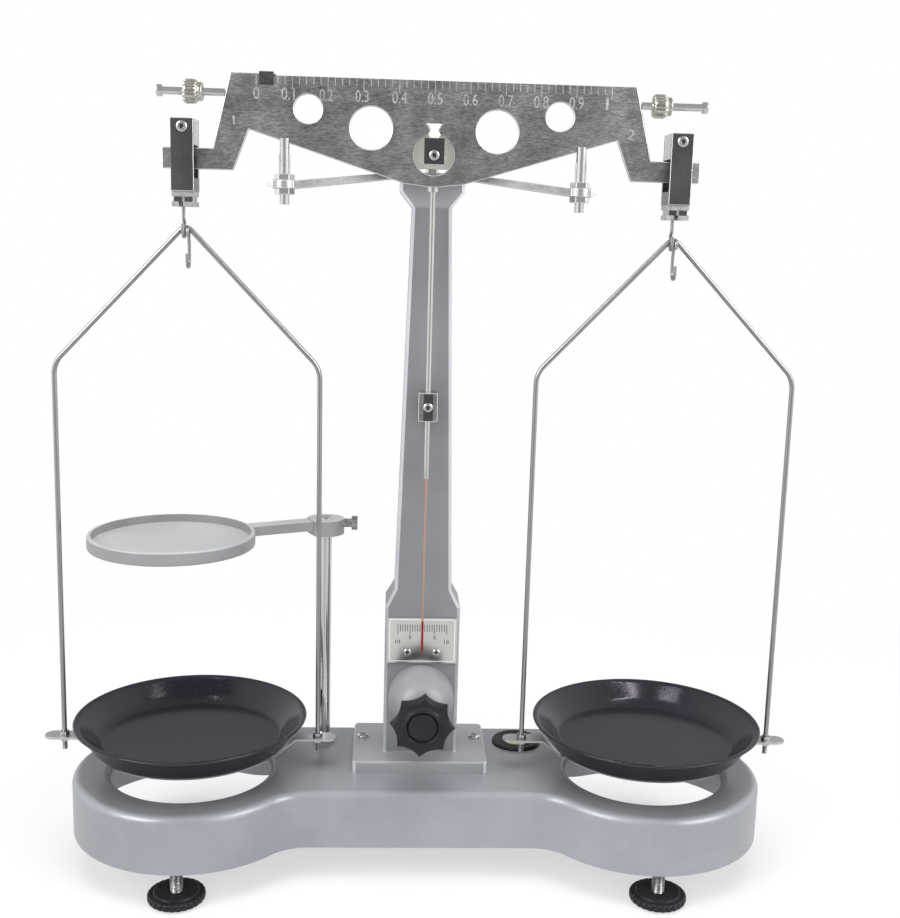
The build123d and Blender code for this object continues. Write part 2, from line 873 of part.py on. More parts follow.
# Threaded rods at the ends of the beam
with BuildPart() as beam_rods:
    for side in (-1, 1):
        with BuildSketch(sideways(side * rod_root, 0, rod_z, side)):
            Circle(rod_radius)
        extrude(amount=rod_tip - rod_root)
        with BuildSketch(sideways(side * rod_root, 0, rod_z, side)):
            Circle(rod_tenon)
        extrude(amount=-rod_tenon_length)
        with BuildSketch(sideways(side * (rod_tip - rod_head_length), 0, rod_z, side)):
            Circle(rod_head_radius)
        extrude(amount=rod_head_length)
        head_face = beam_rods.faces().sort_by(Axis.X)[-1 if side > 0 else 0]
        fillet(head_face.edges(), rod_head_edge)
beam_rods.part.label = "beam_rods"
export_step(beam_rods.part, "parts/beam_rods.step")

# Balance nuts: fluted disc with a hub on its right
for nut_x, hand in ((left_nut_x, "left"), (right_nut_x, "right")):
    with BuildPart() as balance_nut:
        with BuildSketch(sideways(nut_x, 0, rod_z, 1)):
            Circle(nut_radius)
            with PolarLocations(nut_radius, nut_flutes):
                Circle(nut_flute_radius, mode=Mode.SUBTRACT)
        extrude(amount=nut_length)
        with BuildSketch(sideways(nut_x, 0, rod_z, 1)):
            Circle(nut_hub_radius)
        extrude(amount=nut_length + nut_hub_length)
        with BuildSketch(sideways(nut_x, 0, rod_z, 1)):
            Circle(rod_radius + slide_gap)
        extrude(amount=nut_length + nut_hub_length, mode=Mode.SUBTRACT)
    balance_nut.part.label = f"{hand}_balance_nut"
    export_step(balance_nut.part, f"parts/{hand}_balance_nut.step")

# Rider: a small saddle on the top edge of the beam
saddle_inner = half_beam + slide_gap
saddle_outer = saddle_inner + rider_cheek
saddle_roof = land_z + slide_gap

with BuildPart() as rider:
    with BuildSketch(sideways(rider_x - rider_length / 2, 0, land_z - rider_drop, 1)):
        Rectangle(
            2 * saddle_outer,
            rider_drop + slide_gap + rider_roof,
            align=(Align.CENTER, Align.MIN),
        )
        Rectangle(
            2 * saddle_inner,
            rider_drop + slide_gap,
            align=(Align.CENTER, Align.MIN),
            mode=Mode.SUBTRACT,
        )
    extrude(amount=rider_length)
rider.part.label = "rider"
export_step(rider.part, "parts/rider.step")

# Pointer: nut under the beam, rod, thin end and tenon
belly_z = beam_line + belly_bottom
cap_z = belly_z - pointer_cap_height
tip_z = scale_z - pointer_tip_drop
upper_z = tip_z + pointer_thin_length

with BuildPart() as pointer:
    with BuildSketch(Plane.XY.offset(cap_z)):
        Circle(pointer_cap_radius)
    extrude(amount=pointer_cap_height)
    with BuildSketch(Plane.XY.offset(belly_z)):
        Circle(pointer_tenon)
    extrude(amount=pointer_tenon_length)
    with BuildSketch(Plane.XY.offset(cap_z)):
        Circle(pointer_radius)
    extrude(amount=upper_z - cap_z)
    with BuildSketch(Plane.XY.offset(upper_z)):
        Circle(pointer_lower_radius)
    with BuildSketch(Plane.XY.offset(tip_z)):
        Circle(pointer_tip_radius)
    loft()
pointer.part.label = "pointer"
export_step(pointer.part, "parts/pointer.step")

# Sensitivity bob clamped on the pointer
bob_z = beam_line - bob_drop

with BuildPart() as bob:
    with BuildSketch(Plane.XY.offset(bob_z - bob_height / 2)):
        Rectangle(bob_width, bob_depth)
        Circle(pointer_radius + slide_gap, mode=Mode.SUBTRACT)
    extrude(amount=bob_height)
    with BuildSketch(upright(-bob_depth / 2)):
        with Locations((0, bob_z)):
            Circle(bob_screw_radius + shaft_gap)
    extrude(amount=-bob_depth / 2, mode=Mode.SUBTRACT)
bob.part.label = "sensitivity_bob"
export_step(bob.part, "parts/sensitivity_bob.step")

with BuildPart() as bob_screw:
    headed_screw(
        Plane(origin=(0, -bob_depth / 2, bob_z), x_dir=(1, 0, 0), z_dir=(0, -1, 0)),
        bob_screw_radius,
        bob_screw_length,
        bob_screw_head_radius,
        bob_screw_head_height,
    )
bob_screw.part.label = "bob_screw"
export_step(bob_screw.part, "parts/bob_screw.step")

# Arrest arms: yoke on the head, arms out to the pin lugs, pointed tips
yoke_y = (yoke_front + yoke_back) / 2
lug_z = arm_lug_top - arm_height
lug_middle = lug_z + arm_height / 2

with BuildPart() as support_arms:
    with BuildSketch(Plane(origin=(0, yoke_y, head_top))):
        Rectangle(2 * yoke_half_width, yoke_back - yoke_front)
    extrude(amount=yoke_height)
    for side in (-1, 1):
        arm_root = sideways(side * yoke_half_width, arm_root_y, head_top + yoke_height / 2, side)
        lug_side = sideways(side * (pin_x - pin_lug_radius), 0, lug_middle, side)
        lug_far_side = sideways(side * (pin_x + pin_lug_radius - 1), 0, lug_middle, side)
        with BuildSketch(arm_root):
            Rectangle(arm_width, yoke_height)
        with BuildSketch(lug_side):
            Rectangle(arm_width, arm_height)
        loft()
        with BuildSketch(lug_side):
            Rectangle(arm_width, arm_height)
        extrude(amount=pin_lug_radius)
        with BuildSketch(lug_far_side):
            Rectangle(arm_width / 2, arm_height)
        with BuildSketch(sideways(side * arm_tip, 0, lug_middle, side)):
            Rectangle(arm_tip_width, arm_tip_height)
        loft()
        with BuildSketch(Plane(origin=(side * pin_x, 0, lug_z))):
            Circle(pin_lug_radius)
        extrude(amount=arm_height)
        with BuildSketch(Plane(origin=(side * pin_x, 0, lug_z))):
            Circle(pin_thread_radius + shaft_gap)
        extrude(amount=arm_height, mode=Mode.SUBTRACT)
    with BuildSketch(Plane(origin=(0, column_y, head_top))):
        Circle(yoke_bore_radius)
    extrude(amount=yoke_height, mode=Mode.SUBTRACT)
support_arms.part.label = "support_arms"
export_step(support_arms.part, "parts/support_arms.step")

# Forked pins that catch the beam, and their nuts
flank_slope = (notch_rise - belly_flank) / (notch_half - belly_half)
flank_z = beam_line + belly_flank + (pin_x - pin_radius - belly_half) * flank_slope
swing_drop = (pin_x + pin_radius) * sin(radians(swing_angle))
fork_floor = flank_z - lift_travel - swing_drop - fork_floor_gap
pin_shoulder = arm_lug_top + pin_nut_height

with BuildPart() as support_pins:
    for side in (-1, 1):
        with BuildSketch(Plane(origin=(side * pin_x, 0, beam_line + pin_bottom))):
            Circle(pin_thread_radius)
        extrude(amount=pin_shoulder - beam_line - pin_bottom)
        with BuildSketch(Plane(origin=(side * pin_x, 0, pin_shoulder))):
            Circle(pin_radius)
        extrude(amount=beam_line + pin_top - pin_shoulder)
        with BuildSketch(Plane(origin=(side * pin_x, 0, fork_floor))):
            Rectangle(2 * pin_radius, 2 * fork_half_gap)
        extrude(amount=beam_line + pin_top - fork_floor, mode=Mode.SUBTRACT)
support_pins.part.label = "support_pins"
export_step(support_pins.part, "parts/support_pins.step")

with BuildPart() as support_pin_nuts:
    for side in (-1, 1):
        nut_top = Plane(origin=(side * pin_x, 0, arm_lug_top))
        nut_under = Plane(origin=(side * pin_x, 0, lug_z - pin_nut_height))
        hex_nut(nut_top, pin_nut_flats, pin_nut_height, pin_thread_radius + shaft_gap)
        hex_nut(nut_under, pin_nut_flats, pin_nut_height, pin_thread_radius + shaft_gap)
support_pin_nuts.part.label = "support_pin_nuts"
export_step(support_pin_nuts.part, "parts/support_pin_nuts.step")

# Stirrups, hooks, bails, carriers and pans, the same on both sides
half_stirrup = stirrup_width / 2
stirrup_z = beam_line + stirrup_top
block_low = beam_line + stirrup_block_bottom
plate_low = beam_line + stirrup_plate_bottom
lower_top = beam_line + stirrup_lower_top
foot_low = plate_low - stirrup_foot_height
stirrup_screw_z = stirrup_z - stirrup_screw_drop
bearing_z = knife_z + slide_gap / 2
plate_outer = stirrup_gap_half + stirrup_plate
hook_bend = bail_wire_radius + hook_play + hook_wire_radius
specimen_loop = bail_wire_radius + hook_play + specimen_wire_radius

for side, hand in ((-1, "left"), (1, "right")):
    hang_x = side * knife_span
    front_screw = Plane(
        origin=(hang_x, -plate_outer, stirrup_screw_z), x_dir=(1, 0, 0), z_dir=(0, -1, 0)
    )
    back_screw = Plane(
        origin=(hang_x, plate_outer, stirrup_screw_z), x_dir=(1, 0, 0), z_dir=(0, 1, 0)
    )

    with BuildPart() as stirrup_plates:
        for face_y in (-stirrup_gap_half, plate_outer):
            with BuildSketch(upright(face_y)):
                with Locations((hang_x, (plate_low + stirrup_z) / 2)):
                    Rectangle(stirrup_width, stirrup_z - plate_low)
                with Locations((hang_x, stirrup_screw_z)):
                    Circle(stirrup_screw_radius + shaft_gap, mode=Mode.SUBTRACT)
            extrude(amount=stirrup_plate)
    stirrup_plates.part.label = f"{hand}_stirrup_plates"
    export_step(stirrup_plates.part, f"parts/{hand}_stirrup_plates.step")

    with BuildPart() as stirrup_block:
        with BuildSketch(Plane(origin=(hang_x, 0, block_low))):
            Rectangle(stirrup_width, 2 * stirrup_gap_half)
        extrude(amount=stirrup_z - block_low)
        with BuildSketch(Plane(origin=(hang_x, 0, block_low))):
            Rectangle(stirrup_bearing_width, 2 * stirrup_gap_half)
        extrude(amount=bearing_z + stirrup_bearing_height - block_low, mode=Mode.SUBTRACT)
        for screw_plane in (front_screw, back_screw):
            with BuildSketch(screw_plane):
                Circle(stirrup_screw_radius + shaft_gap)
            extrude(amount=-stirrup_screw_length, mode=Mode.SUBTRACT)
        with BuildSketch(Plane(origin=(hang_x, 0, plate_low))):
            Rectangle(stirrup_width, 2 * stirrup_gap_half)
        extrude(amount=lower_top - plate_low)
    stirrup_block.part.label = f"{hand}_stirrup_block"
    export_step(stirrup_block.part, f"parts/{hand}_stirrup_block.step")

    with BuildPart() as stirrup_bearing:
        with BuildSketch(Plane(origin=(hang_x, 0, bearing_z))):
            Rectangle(stirrup_bearing_width, 2 * stirrup_bearing_half)
        extrude(amount=stirrup_bearing_height)
    stirrup_bearing.part.label = f"{hand}_stirrup_bearing"
    export_step(stirrup_bearing.part, f"parts/{hand}_stirrup_bearing.step")

    with BuildPart() as stirrup_foot:
        neck_half = half_stirrup - stirrup_neck_inset
        with BuildSketch(Plane(origin=(hang_x, 0, foot_low))):
            Rectangle(stirrup_width, 2 * stirrup_gap_half)
        extrude(amount=stirrup_step)
        with BuildSketch(Plane(origin=(hang_x, 0, foot_low + stirrup_step))):
            Rectangle(2 * neck_half, 2 * (stirrup_gap_half - stirrup_neck_inset))
        extrude(amount=stirrup_step)
        with BuildSketch(Plane(origin=(hang_x, 0, foot_low + 2 * stirrup_step))):
            Rectangle(stirrup_width, 2 * stirrup_gap_half)
        extrude(amount=stirrup_step)
        with BuildSketch(Plane(origin=(hang_x - hook_offset, 0, foot_low))):
            Rectangle(2 * stirrup_slot_half, 2 * stirrup_gap_half)
        extrude(amount=stirrup_step, mode=Mode.SUBTRACT)
        with BuildSketch(Plane(origin=(hang_x - hook_offset, 0, foot_low + stirrup_step))):
            Circle(hook_wire_radius)
        extrude(amount=hook_root, mode=Mode.SUBTRACT)
    stirrup_foot.part.label = f"{hand}_stirrup_foot"
    export_step(stirrup_foot.part, f"parts/{hand}_stirrup_foot.step")

    with BuildPart() as stirrup_screws:
        for screw_plane in (front_screw, back_screw):
            headed_screw(
                screw_plane,
                stirrup_screw_radius,
                stirrup_screw_length,
                stirrup_screw_head_radius,
                stirrup_screw_head_height,
            )
    stirrup_screws.part.label = f"{hand}_stirrup_screws"
    export_step(stirrup_screws.part, f"parts/{hand}_stirrup_screws.step")

    hook_plane = Plane(origin=(hang_x - hook_offset, 0, apex_z), x_dir=(0, 1, 0), z_dir=(1, 0, 0))
    with BuildPart() as stirrup_hook:
        wire(
            hook_plane,
            [
                (0, foot_low + stirrup_step + hook_root - apex_z),
                (0, hook_straight),
                (hook_bend, hook_straight - hook_bend),
                (hook_bend, -hook_bend),
                (-hook_bend, -hook_bend),
                (-hook_bend, hook_tip_rise),
            ],
            [2 * hook_wire_radius, 2 * hook_wire_radius, wire_turn * hook_bend, wire_turn * hook_bend],
            hook_wire_radius,
        )
    stirrup_hook.part.label = f"{hand}_stirrup_hook"
    export_step(stirrup_hook.part, f"parts/{hand}_stirrup_hook.step")

    specimen_plane = Plane(
        origin=(hang_x + hook_offset, 0, apex_z), x_dir=(0, 1, 0), z_dir=(1, 0, 0)
    )
    with BuildPart() as specimen_hook:
        wire(
            specimen_plane,
            [
                (-specimen_loop, -specimen_loop),
                (-specimen_loop, specimen_loop),
                (specimen_loop, specimen_loop),
                (specimen_loop, -specimen_loop),
                (specimen_bend, -specimen_loop - specimen_waist),
                (specimen_bend, -specimen_drop - specimen_bend),
                (-specimen_bend, -specimen_drop - specimen_bend),
                (-specimen_bend, -specimen_drop + specimen_tip_rise),
            ],
            [
                wire_turn * specimen_loop,
                wire_turn * specimen_loop,
                specimen_loop,
                specimen_loop,
                wire_turn * specimen_bend,
                wire_turn * specimen_bend,
            ],
            specimen_wire_radius,
        )
    specimen_hook.part.label = f"{hand}_specimen_hook"
    export_step(specimen_hook.part, f"parts/{hand}_specimen_hook.step")

    shoulder_z = apex_z - bail_shoulder_drop
    bail_plane = Plane(origin=(hang_x, 0, 0), x_dir=(1, 0, 0), z_dir=(0, -1, 0))
    with BuildPart() as bail:
        wire(
            bail_plane,
            [
                (-bail_half_width, bail_bottom),
                (-bail_shoulder_half, shoulder_z),
                (0, apex_z + bail_corner_rise),
                (bail_shoulder_half, shoulder_z),
                (bail_half_width, bail_bottom),
            ],
            [shoulder_radius, apex_radius, shoulder_radius],
            bail_wire_radius,
        )
    bail.part.label = f"{hand}_bail"
    export_step(bail.part, f"parts/{hand}_bail.step")

    tab_bottom = carrier_tab_top - carrier_thickness
    with BuildPart() as bail_nuts:
        for stud_x in (hang_x - bail_half_width, hang_x + bail_half_width):
            nut_above = Plane(origin=(stud_x, 0, carrier_tab_top))
            nut_below = Plane(origin=(stud_x, 0, tab_bottom - bail_nut_height))
            hex_nut(nut_above, bail_nut_flats, bail_nut_height, bail_wire_radius + slide_gap)
            hex_nut(nut_below, bail_nut_flats, bail_nut_height, bail_wire_radius + slide_gap)
    bail_nuts.part.label = f"{hand}_bail_nuts"
    export_step(bail_nuts.part, f"parts/{hand}_bail_nuts.step")

    with BuildPart() as pan_carrier:
        with BuildSketch(bail_plane):
            with BuildLine():
                Polyline(
                    (-carrier_half_length, carrier_tab_top),
                    (-carrier_bend_outer, carrier_tab_top),
                    (-carrier_bend_inner, pan_seat),
                    (carrier_bend_inner, pan_seat),
                    (carrier_bend_outer, carrier_tab_top),
                    (carrier_half_length, carrier_tab_top),
                    (carrier_half_length, tab_bottom),
                    (carrier_bend_outer, tab_bottom),
                    (carrier_bend_inner, pan_seat - carrier_thickness),
                    (-carrier_bend_inner, pan_seat - carrier_thickness),
                    (-carrier_bend_outer, tab_bottom),
                    (-carrier_half_length, tab_bottom),
                    close=True,
                )
            make_face()
        extrude(amount=carrier_width / 2, both=True)
        corners = pan_carrier.edges().filter_by(Axis.Z)
        fillet(corners, carrier_width / 2 - seat_gap)
        with BuildSketch(Plane(origin=(hang_x, 0, tab_bottom))):
            with Locations((-bail_half_width, 0), (bail_half_width, 0)):
                Circle(bail_wire_radius + slide_gap)
        extrude(amount=carrier_thickness, mode=Mode.SUBTRACT)
    pan_carrier.part.label = f"{hand}_pan_carrier"
    export_step(pan_carrier.part, f"parts/{hand}_pan_carrier.step")

    floor_top = pan_seat + pan_floor_height
    floor_bottom = floor_top - pan_floor_thickness
    if side < 0:
        floor_bottom = floor_bottom + pan_trim
    rim_z = pan_seat + pan_height
    lip_inner = (pan_radius - pan_wall - pan_lip_inset, rim_z - pan_lip_fall)
    lip_crest = (pan_radius - pan_lip, rim_z)
    lip_edge = (pan_radius, rim_z - pan_lip)
    lip_under = (pan_radius - pan_lip, rim_z - pan_lip_drop)
    bottom_edge = (pan_bottom_radius, pan_seat + pan_bottom_height)
    inner_wall = [(pan_floor_radius + out, floor_top + up) for out, up in pan_inner_curve]
    outer_wall = [(pan_bottom_radius + out, rim_z + down) for out, down in pan_outer_curve]
    with BuildPart() as pan:
        with BuildSketch(bail_plane):
            with BuildLine():
                Line((0, floor_top), (pan_floor_radius, floor_top))
                Spline((pan_floor_radius, floor_top), *inner_wall, lip_inner)
                Polyline(lip_inner, lip_crest, lip_edge, lip_under)
                Spline(lip_under, *outer_wall, bottom_edge)
                Polyline(
                    bottom_edge,
                    (pan_bottom_radius - pan_wall, pan_seat + pan_bottom_height),
                    (pan_bottom_radius - pan_wall, floor_bottom),
                    (pan_foot_radius, floor_bottom),
                    (pan_foot_radius, pan_seat),
                    (pan_foot_radius - pan_foot_wall, pan_seat),
                    (pan_foot_radius - pan_foot_wall, floor_bottom),
                    (0, floor_bottom),
                    (0, floor_top),
                )
            make_face()
        revolve(axis=Axis((hang_x, 0, 0), (0, 0, 1)))
    pan.part.label = f"{hand}_pan"
    export_step(pan.part, f"parts/{hand}_pan.step")

# Round spirit level
with BuildPart() as level_housing:
    with BuildSketch(Plane(origin=(level_x, level_y, base_top))):
        Circle(level_radius)
    extrude(amount=level_height)
    fillet(level_housing.faces().sort_by(Axis.Z)[-1].edges(), level_edge)
    with BuildSketch(Plane(origin=(level_x, level_y, base_top))):
        Circle(level_body_radius)
    extrude(amount=-level_body_depth)
    with BuildSketch(Plane(origin=(level_x, level_y, base_top + level_height))):
        Circle(level_window_radius)
    extrude(amount=-level_window_depth - level_step, mode=Mode.SUBTRACT)
level_housing.part.label = "level_housing"
export_step(level_housing.part, "parts/level_housing.step")

with BuildPart() as level_vial:
    vial_top = base_top + level_height - level_step
    with BuildSketch(Plane(origin=(level_x, level_y, vial_top))):
        Circle(level_window_radius - shaft_gap)
    extrude(amount=-level_window_depth)
level_vial.part.label = "level_vial"
export_step(level_vial.part, "parts/level_vial.step")

# Tray post and the nuts that clamp it to the base
with BuildPart() as tray_post:
    with BuildSketch(Plane(origin=(post_x, post_y, base_top - post_below))):
        Circle(post_radius)
    extrude(amount=post_top - base_top + post_below)
    chamfer(tray_post.faces().sort_by(Axis.Z)[-1].edges(), post_bevel)
tray_post.part.label = "tray_post"
export_step(tray_post.part, "parts/tray_post.step")

with BuildPart() as tray_post_nuts:
    under_base = base_top - base_top_wall - post_nut_height
    for nut_z in (base_top, under_base):
        nut_plane = Plane(origin=(post_x, post_y, nut_z))
        hex_nut(nut_plane, post_nut_flats, post_nut_height, post_radius + shaft_gap)
tray_post_nuts.part.label = "tray_post_nuts"
export_step(tray_post_nuts.part, "parts/tray_post_nuts.step")

# Collar on the post with a flat for the tray's arm, and its clamp screw
tray_x = post_x + tray_reach * cos(radians(tray_angle))
tray_y = post_y + tray_reach * sin(radians(tray_angle))
arm_direction = (cos(radians(tray_angle)), sin(radians(tray_angle)), 0)
clamp_z = collar_bottom + clamp_height
sleeve_x = post_x + collar_radius - clamp_sleeve_seat

with BuildPart() as tray_collar:
    with BuildSketch(Plane(origin=(post_x, post_y, collar_bottom))):
        Circle(collar_radius)
        Circle(post_radius + slide_gap, mode=Mode.SUBTRACT)
    extrude(amount=collar_height)
    flat_point = (
        post_x + arm_bar_root * arm_direction[0],
        post_y + arm_bar_root * arm_direction[1],
        collar_bottom,
    )
    with BuildSketch(Plane(origin=flat_point, z_dir=arm_direction)):
        Rectangle(4 * collar_radius, 4 * collar_radius)
    extrude(amount=collar_radius, mode=Mode.SUBTRACT)
    with BuildSketch(sideways(post_x, post_y, clamp_z, 1)):
        Circle(clamp_radius + shaft_gap)
    extrude(amount=collar_radius, mode=Mode.SUBTRACT)
    with BuildSketch(sideways(sleeve_x, post_y, clamp_z, 1)):
        Circle(clamp_sleeve_radius + shaft_gap)
    extrude(amount=clamp_sleeve_seat, mode=Mode.SUBTRACT)
tray_collar.part.label = "tray_collar"
export_step(tray_collar.part, "parts/tray_collar.step")

with BuildPart() as tray_clamp_screw:
    screw_x = post_x + post_radius + seat_gap
    with BuildSketch(sideways(screw_x, post_y, clamp_z, 1)):
        Circle(clamp_radius)
    extrude(amount=sleeve_x - screw_x + clamp_sleeve_length)
    with BuildSketch(sideways(sleeve_x + shaft_gap, post_y, clamp_z, 1)):
        Circle(clamp_sleeve_radius)
    extrude(amount=clamp_sleeve_length)
    with BuildSketch(sideways(sleeve_x + clamp_sleeve_length, post_y, clamp_z, 1)):
        Circle(clamp_head_radius)
    extrude(amount=clamp_head_length)
tray_clamp_screw.part.label = "tray_clamp_screw"
export_step(tray_clamp_screw.part, "parts/tray_clamp_screw.step")

# Tray dish with its arm
arm_span = tray_reach - tray_radius - arm_bar_root + 2 * tray_rim
arm_start = (flat_point[0], flat_point[1], tray_top - arm_bar_height / 2)

with BuildPart() as tray_dish:
    with BuildSketch(Plane(origin=(tray_x, tray_y, tray_top))):
        Circle(tray_radius)
    extrude(amount=-tray_height)
    fillet(tray_dish.edges(), tray_edge_radius)
    with BuildSketch(Plane(origin=arm_start, x_dir=(0, 0, 1), z_dir=arm_direction)):
        Rectangle(arm_bar_height, arm_bar_width)
    extrude(amount=arm_span)
    with BuildSketch(Plane(origin=(tray_x, tray_y, tray_top))):
        Circle(tray_radius - tray_rim)
    extrude(amount=-tray_recess, mode=Mode.SUBTRACT)
tray_dish.part.label = "tray_dish"
export_step(tray_dish.part, "parts/tray_dish.step")
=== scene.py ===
from math import cos, pi, radians, sin

import bmesh
import bpy
import numpy as np
from mathutils import Matrix, Vector


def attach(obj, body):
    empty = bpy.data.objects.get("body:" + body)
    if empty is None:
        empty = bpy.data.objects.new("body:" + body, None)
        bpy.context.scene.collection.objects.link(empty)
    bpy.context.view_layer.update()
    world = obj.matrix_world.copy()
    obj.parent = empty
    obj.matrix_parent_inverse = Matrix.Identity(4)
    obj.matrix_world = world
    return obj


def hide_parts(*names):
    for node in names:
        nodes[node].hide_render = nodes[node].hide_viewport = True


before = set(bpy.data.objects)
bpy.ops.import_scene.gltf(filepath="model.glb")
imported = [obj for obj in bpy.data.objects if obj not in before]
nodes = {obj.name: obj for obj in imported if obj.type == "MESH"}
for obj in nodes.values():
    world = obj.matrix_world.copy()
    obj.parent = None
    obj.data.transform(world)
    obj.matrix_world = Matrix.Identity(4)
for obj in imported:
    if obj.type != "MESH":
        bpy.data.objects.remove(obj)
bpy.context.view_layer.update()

# The balance as it comes from the frame: every solid is there, in metres, with the beam in the
# plane y = 0.
MM = 0.001
HALF_SPAN = 150  # from the centre knife to each end knife, pan and front foot, in mm
SIDES = (("left", -HALF_SPAN), ("right", HALF_SPAN))

# Camera: a hand-held view from the front, a little above the pans and slightly turned.
# Its place and angles come from the ratios of known points in the picture.
view = bpy.data.cameras.new("front_view")
view.sensor_fit = "HORIZONTAL"
view.sensor_width = 36
view.lens = 48.92
camera = bpy.data.objects.new("front_view", view)
bpy.context.scene.collection.objects.link(camera)
camera_place = Vector((-22.87, -764.8, 409.1)) * MM
yaw, pitch, roll = radians(-2.829), radians(-10.428), radians(1.567)
level_right = Vector((cos(yaw), sin(yaw), 0))
forward = Vector((-sin(yaw) * cos(pitch), cos(yaw) * cos(pitch), sin(pitch)))
level_up = level_right.cross(forward)
right = level_right * cos(roll) + level_up * sin(roll)
up = level_up * cos(roll) - level_right * sin(roll)
camera.matrix_world = Matrix.Translation(camera_place) @ Matrix(
    (right, up, -forward)).transposed().to_4x4()
bpy.context.scene.camera = camera
bpy.context.scene.view_settings.view_transform = "Standard"


# Studio: a pale table in a pale room that the camera sees as white. Shiny faces see the room
# brighter at both sides. Three soft lamps light the balance, and two strip lamps only the pans.
def put(tree, kind, inputs=None, **settings):
    """A node of the kind in the tree, with its settings. Each input takes a value, or a link
    where a (node, output) pair is given."""
    node = tree.nodes.new(kind)
    for name, value in settings.items():
        setattr(node, name, value)
    for name, value in (inputs or {}).items():
        if isinstance(value, tuple) and isinstance(value[0], bpy.types.Node):
            join(tree, *value, node, name)
        else:
            node.inputs[name].default_value = value
    return node


def join(tree, node, output, target, socket):
    """A link from an output of one node to a socket of another."""
    tree.links.new(node.outputs[output], target.inputs[socket])


def ramp(tree, source, start, end, low=0.0, high=1.0, curve="LINEAR"):
    """The source, a (node, output) pair, taken from the span start to end to low to high."""
    return put(tree, "ShaderNodeMapRange",
               {"Value": source, "From Min": start, "From Max": end, "To Min": low,
                "To Max": high}, interpolation_type=curve)


# How bright the room looks to shiny faces: the share of X in the direction, from and to, and
# the strengths there.
SIDE_LIGHT = (0.15, 0.85, 0.42, 1.1, "SMOOTHSTEP")
WHITE = (1, 1, 1, 1)

room = bpy.data.worlds.new("pale_room")
room.use_nodes = True
bpy.context.scene.world = room
air = room.node_tree
air.nodes.clear()
rays = put(air, "ShaderNodeLightPath")
direct = put(air, "ShaderNodeMath",
             {0: (rays, "Is Camera Ray"), 1: (rays, "Is Transmission Ray")},
             operation="MAXIMUM")
around = put(air, "ShaderNodeTexCoord")
toward = put(air, "ShaderNodeSeparateXYZ", {0: (around, "Generated")})
sideways = put(air, "ShaderNodeMath", {0: (toward, "X")}, operation="ABSOLUTE")
side_light = ramp(air, (sideways, "Value"), *SIDE_LIGHT)
soft = put(air, "ShaderNodeBackground", {"Color": (0.93, 0.95, 1.0, 1), "Strength": 0.42})
shiny = put(air, "ShaderNodeBackground", {"Color": WHITE, "Strength": (side_light, "Result")})
white = put(air, "ShaderNodeBackground", {"Color": WHITE, "Strength": 1.0})
by_gloss = put(air, "ShaderNodeMixShader",
               {"Fac": (rays, "Is Glossy Ray"), 1: (soft, "Background"), 2: (shiny, "Background")})
by_sight = put(air, "ShaderNodeMixShader",
               {"Fac": (direct, "Value"), 1: (by_gloss, "Shader"), 2: (white, "Background")})
put(air, "ShaderNodeOutputWorld", {"Surface": (by_sight, "Shader")})

# The table is matt. The camera sees it fade to white with the distance from the balance. Shiny
# faces see it glow: evenly near the balance, and like the room further off. Lengths in metres.
NEAR_GLOW = 0.75
GLOW_LIKE_ROOM = (0.4, 2.0)
FADE_TO_WHITE = (0.25, 0.75, 0.6, 1.0, "SMOOTHSTEP")
NUMBER_A, NUMBER_B = 2, 3  # the number sockets of a Mix node

table = bpy.data.meshes.new("table_top")
table.from_pydata([(-5, -3, 0), (5, -3, 0), (5, 7, 0), (-5, 7, 0)], [], [(0, 1, 2, 3)])
table_top = bpy.data.objects.new("table_top", table)
bpy.context.scene.collection.objects.link(table_top)
pale = bpy.data.materials.new("pale_table")
pale.use_nodes = True
tree = pale.node_tree
tree.nodes.clear()
rays = put(tree, "ShaderNodeLightPath")
bounced = put(tree, "ShaderNodeMath",
              {0: (rays, "Is Glossy Ray"), 1: (rays, "Is Transmission Ray")},
              operation="MAXIMUM")
where = put(tree, "ShaderNodeTexCoord")
reach = put(tree, "ShaderNodeVectorMath", {0: (where, "Object")}, operation="LENGTH")
apart = put(tree, "ShaderNodeSeparateXYZ", {"Vector": (where, "Object")})
sideways = put(tree, "ShaderNodeMath", {0: (apart, "X")}, operation="ABSOLUTE")
slant = put(tree, "ShaderNodeMath", {0: (sideways, "Value"), 1: (reach, "Value")},
            operation="DIVIDE")
far_light = ramp(tree, (slant, "Value"), *SIDE_LIGHT)
far = ramp(tree, (reach, "Value"), *GLOW_LIKE_ROOM)
strength = put(tree, "ShaderNodeMix",
               {0: (far, "Result"), NUMBER_A: NEAR_GLOW, NUMBER_B: (far_light, "Result")})
matt = put(tree, "ShaderNodeBsdfPrincipled",
           {"Base Color": (0.88, 0.88, 0.89, 1), "Roughness": 0.8})
glow = put(tree, "ShaderNodeEmission", {"Color": WHITE, "Strength": (strength, 0)})
light_top = put(tree, "ShaderNodeMixShader",
                {"Fac": (bounced, "Value"), 1: (matt, "BSDF"), 2: (glow, "Emission")})
fade = ramp(tree, (reach, "Value"), *FADE_TO_WHITE)
in_sight = put(tree, "ShaderNodeMath", {0: (fade, "Result"), 1: (rays, "Is Camera Ray")},
               operation="MULTIPLY")
sheet_white = put(tree, "ShaderNodeEmission", {"Color": WHITE, "Strength": 1.0})
top_blend = put(tree, "ShaderNodeMixShader",
                {"Fac": (in_sight, "Value"), 1: (light_top, "Shader"),
                 2: (sheet_white, "Emission")})
put(tree, "ShaderNodeOutputMaterial", {"Surface": (top_blend, "Shader")})
table.materials.append(pale)

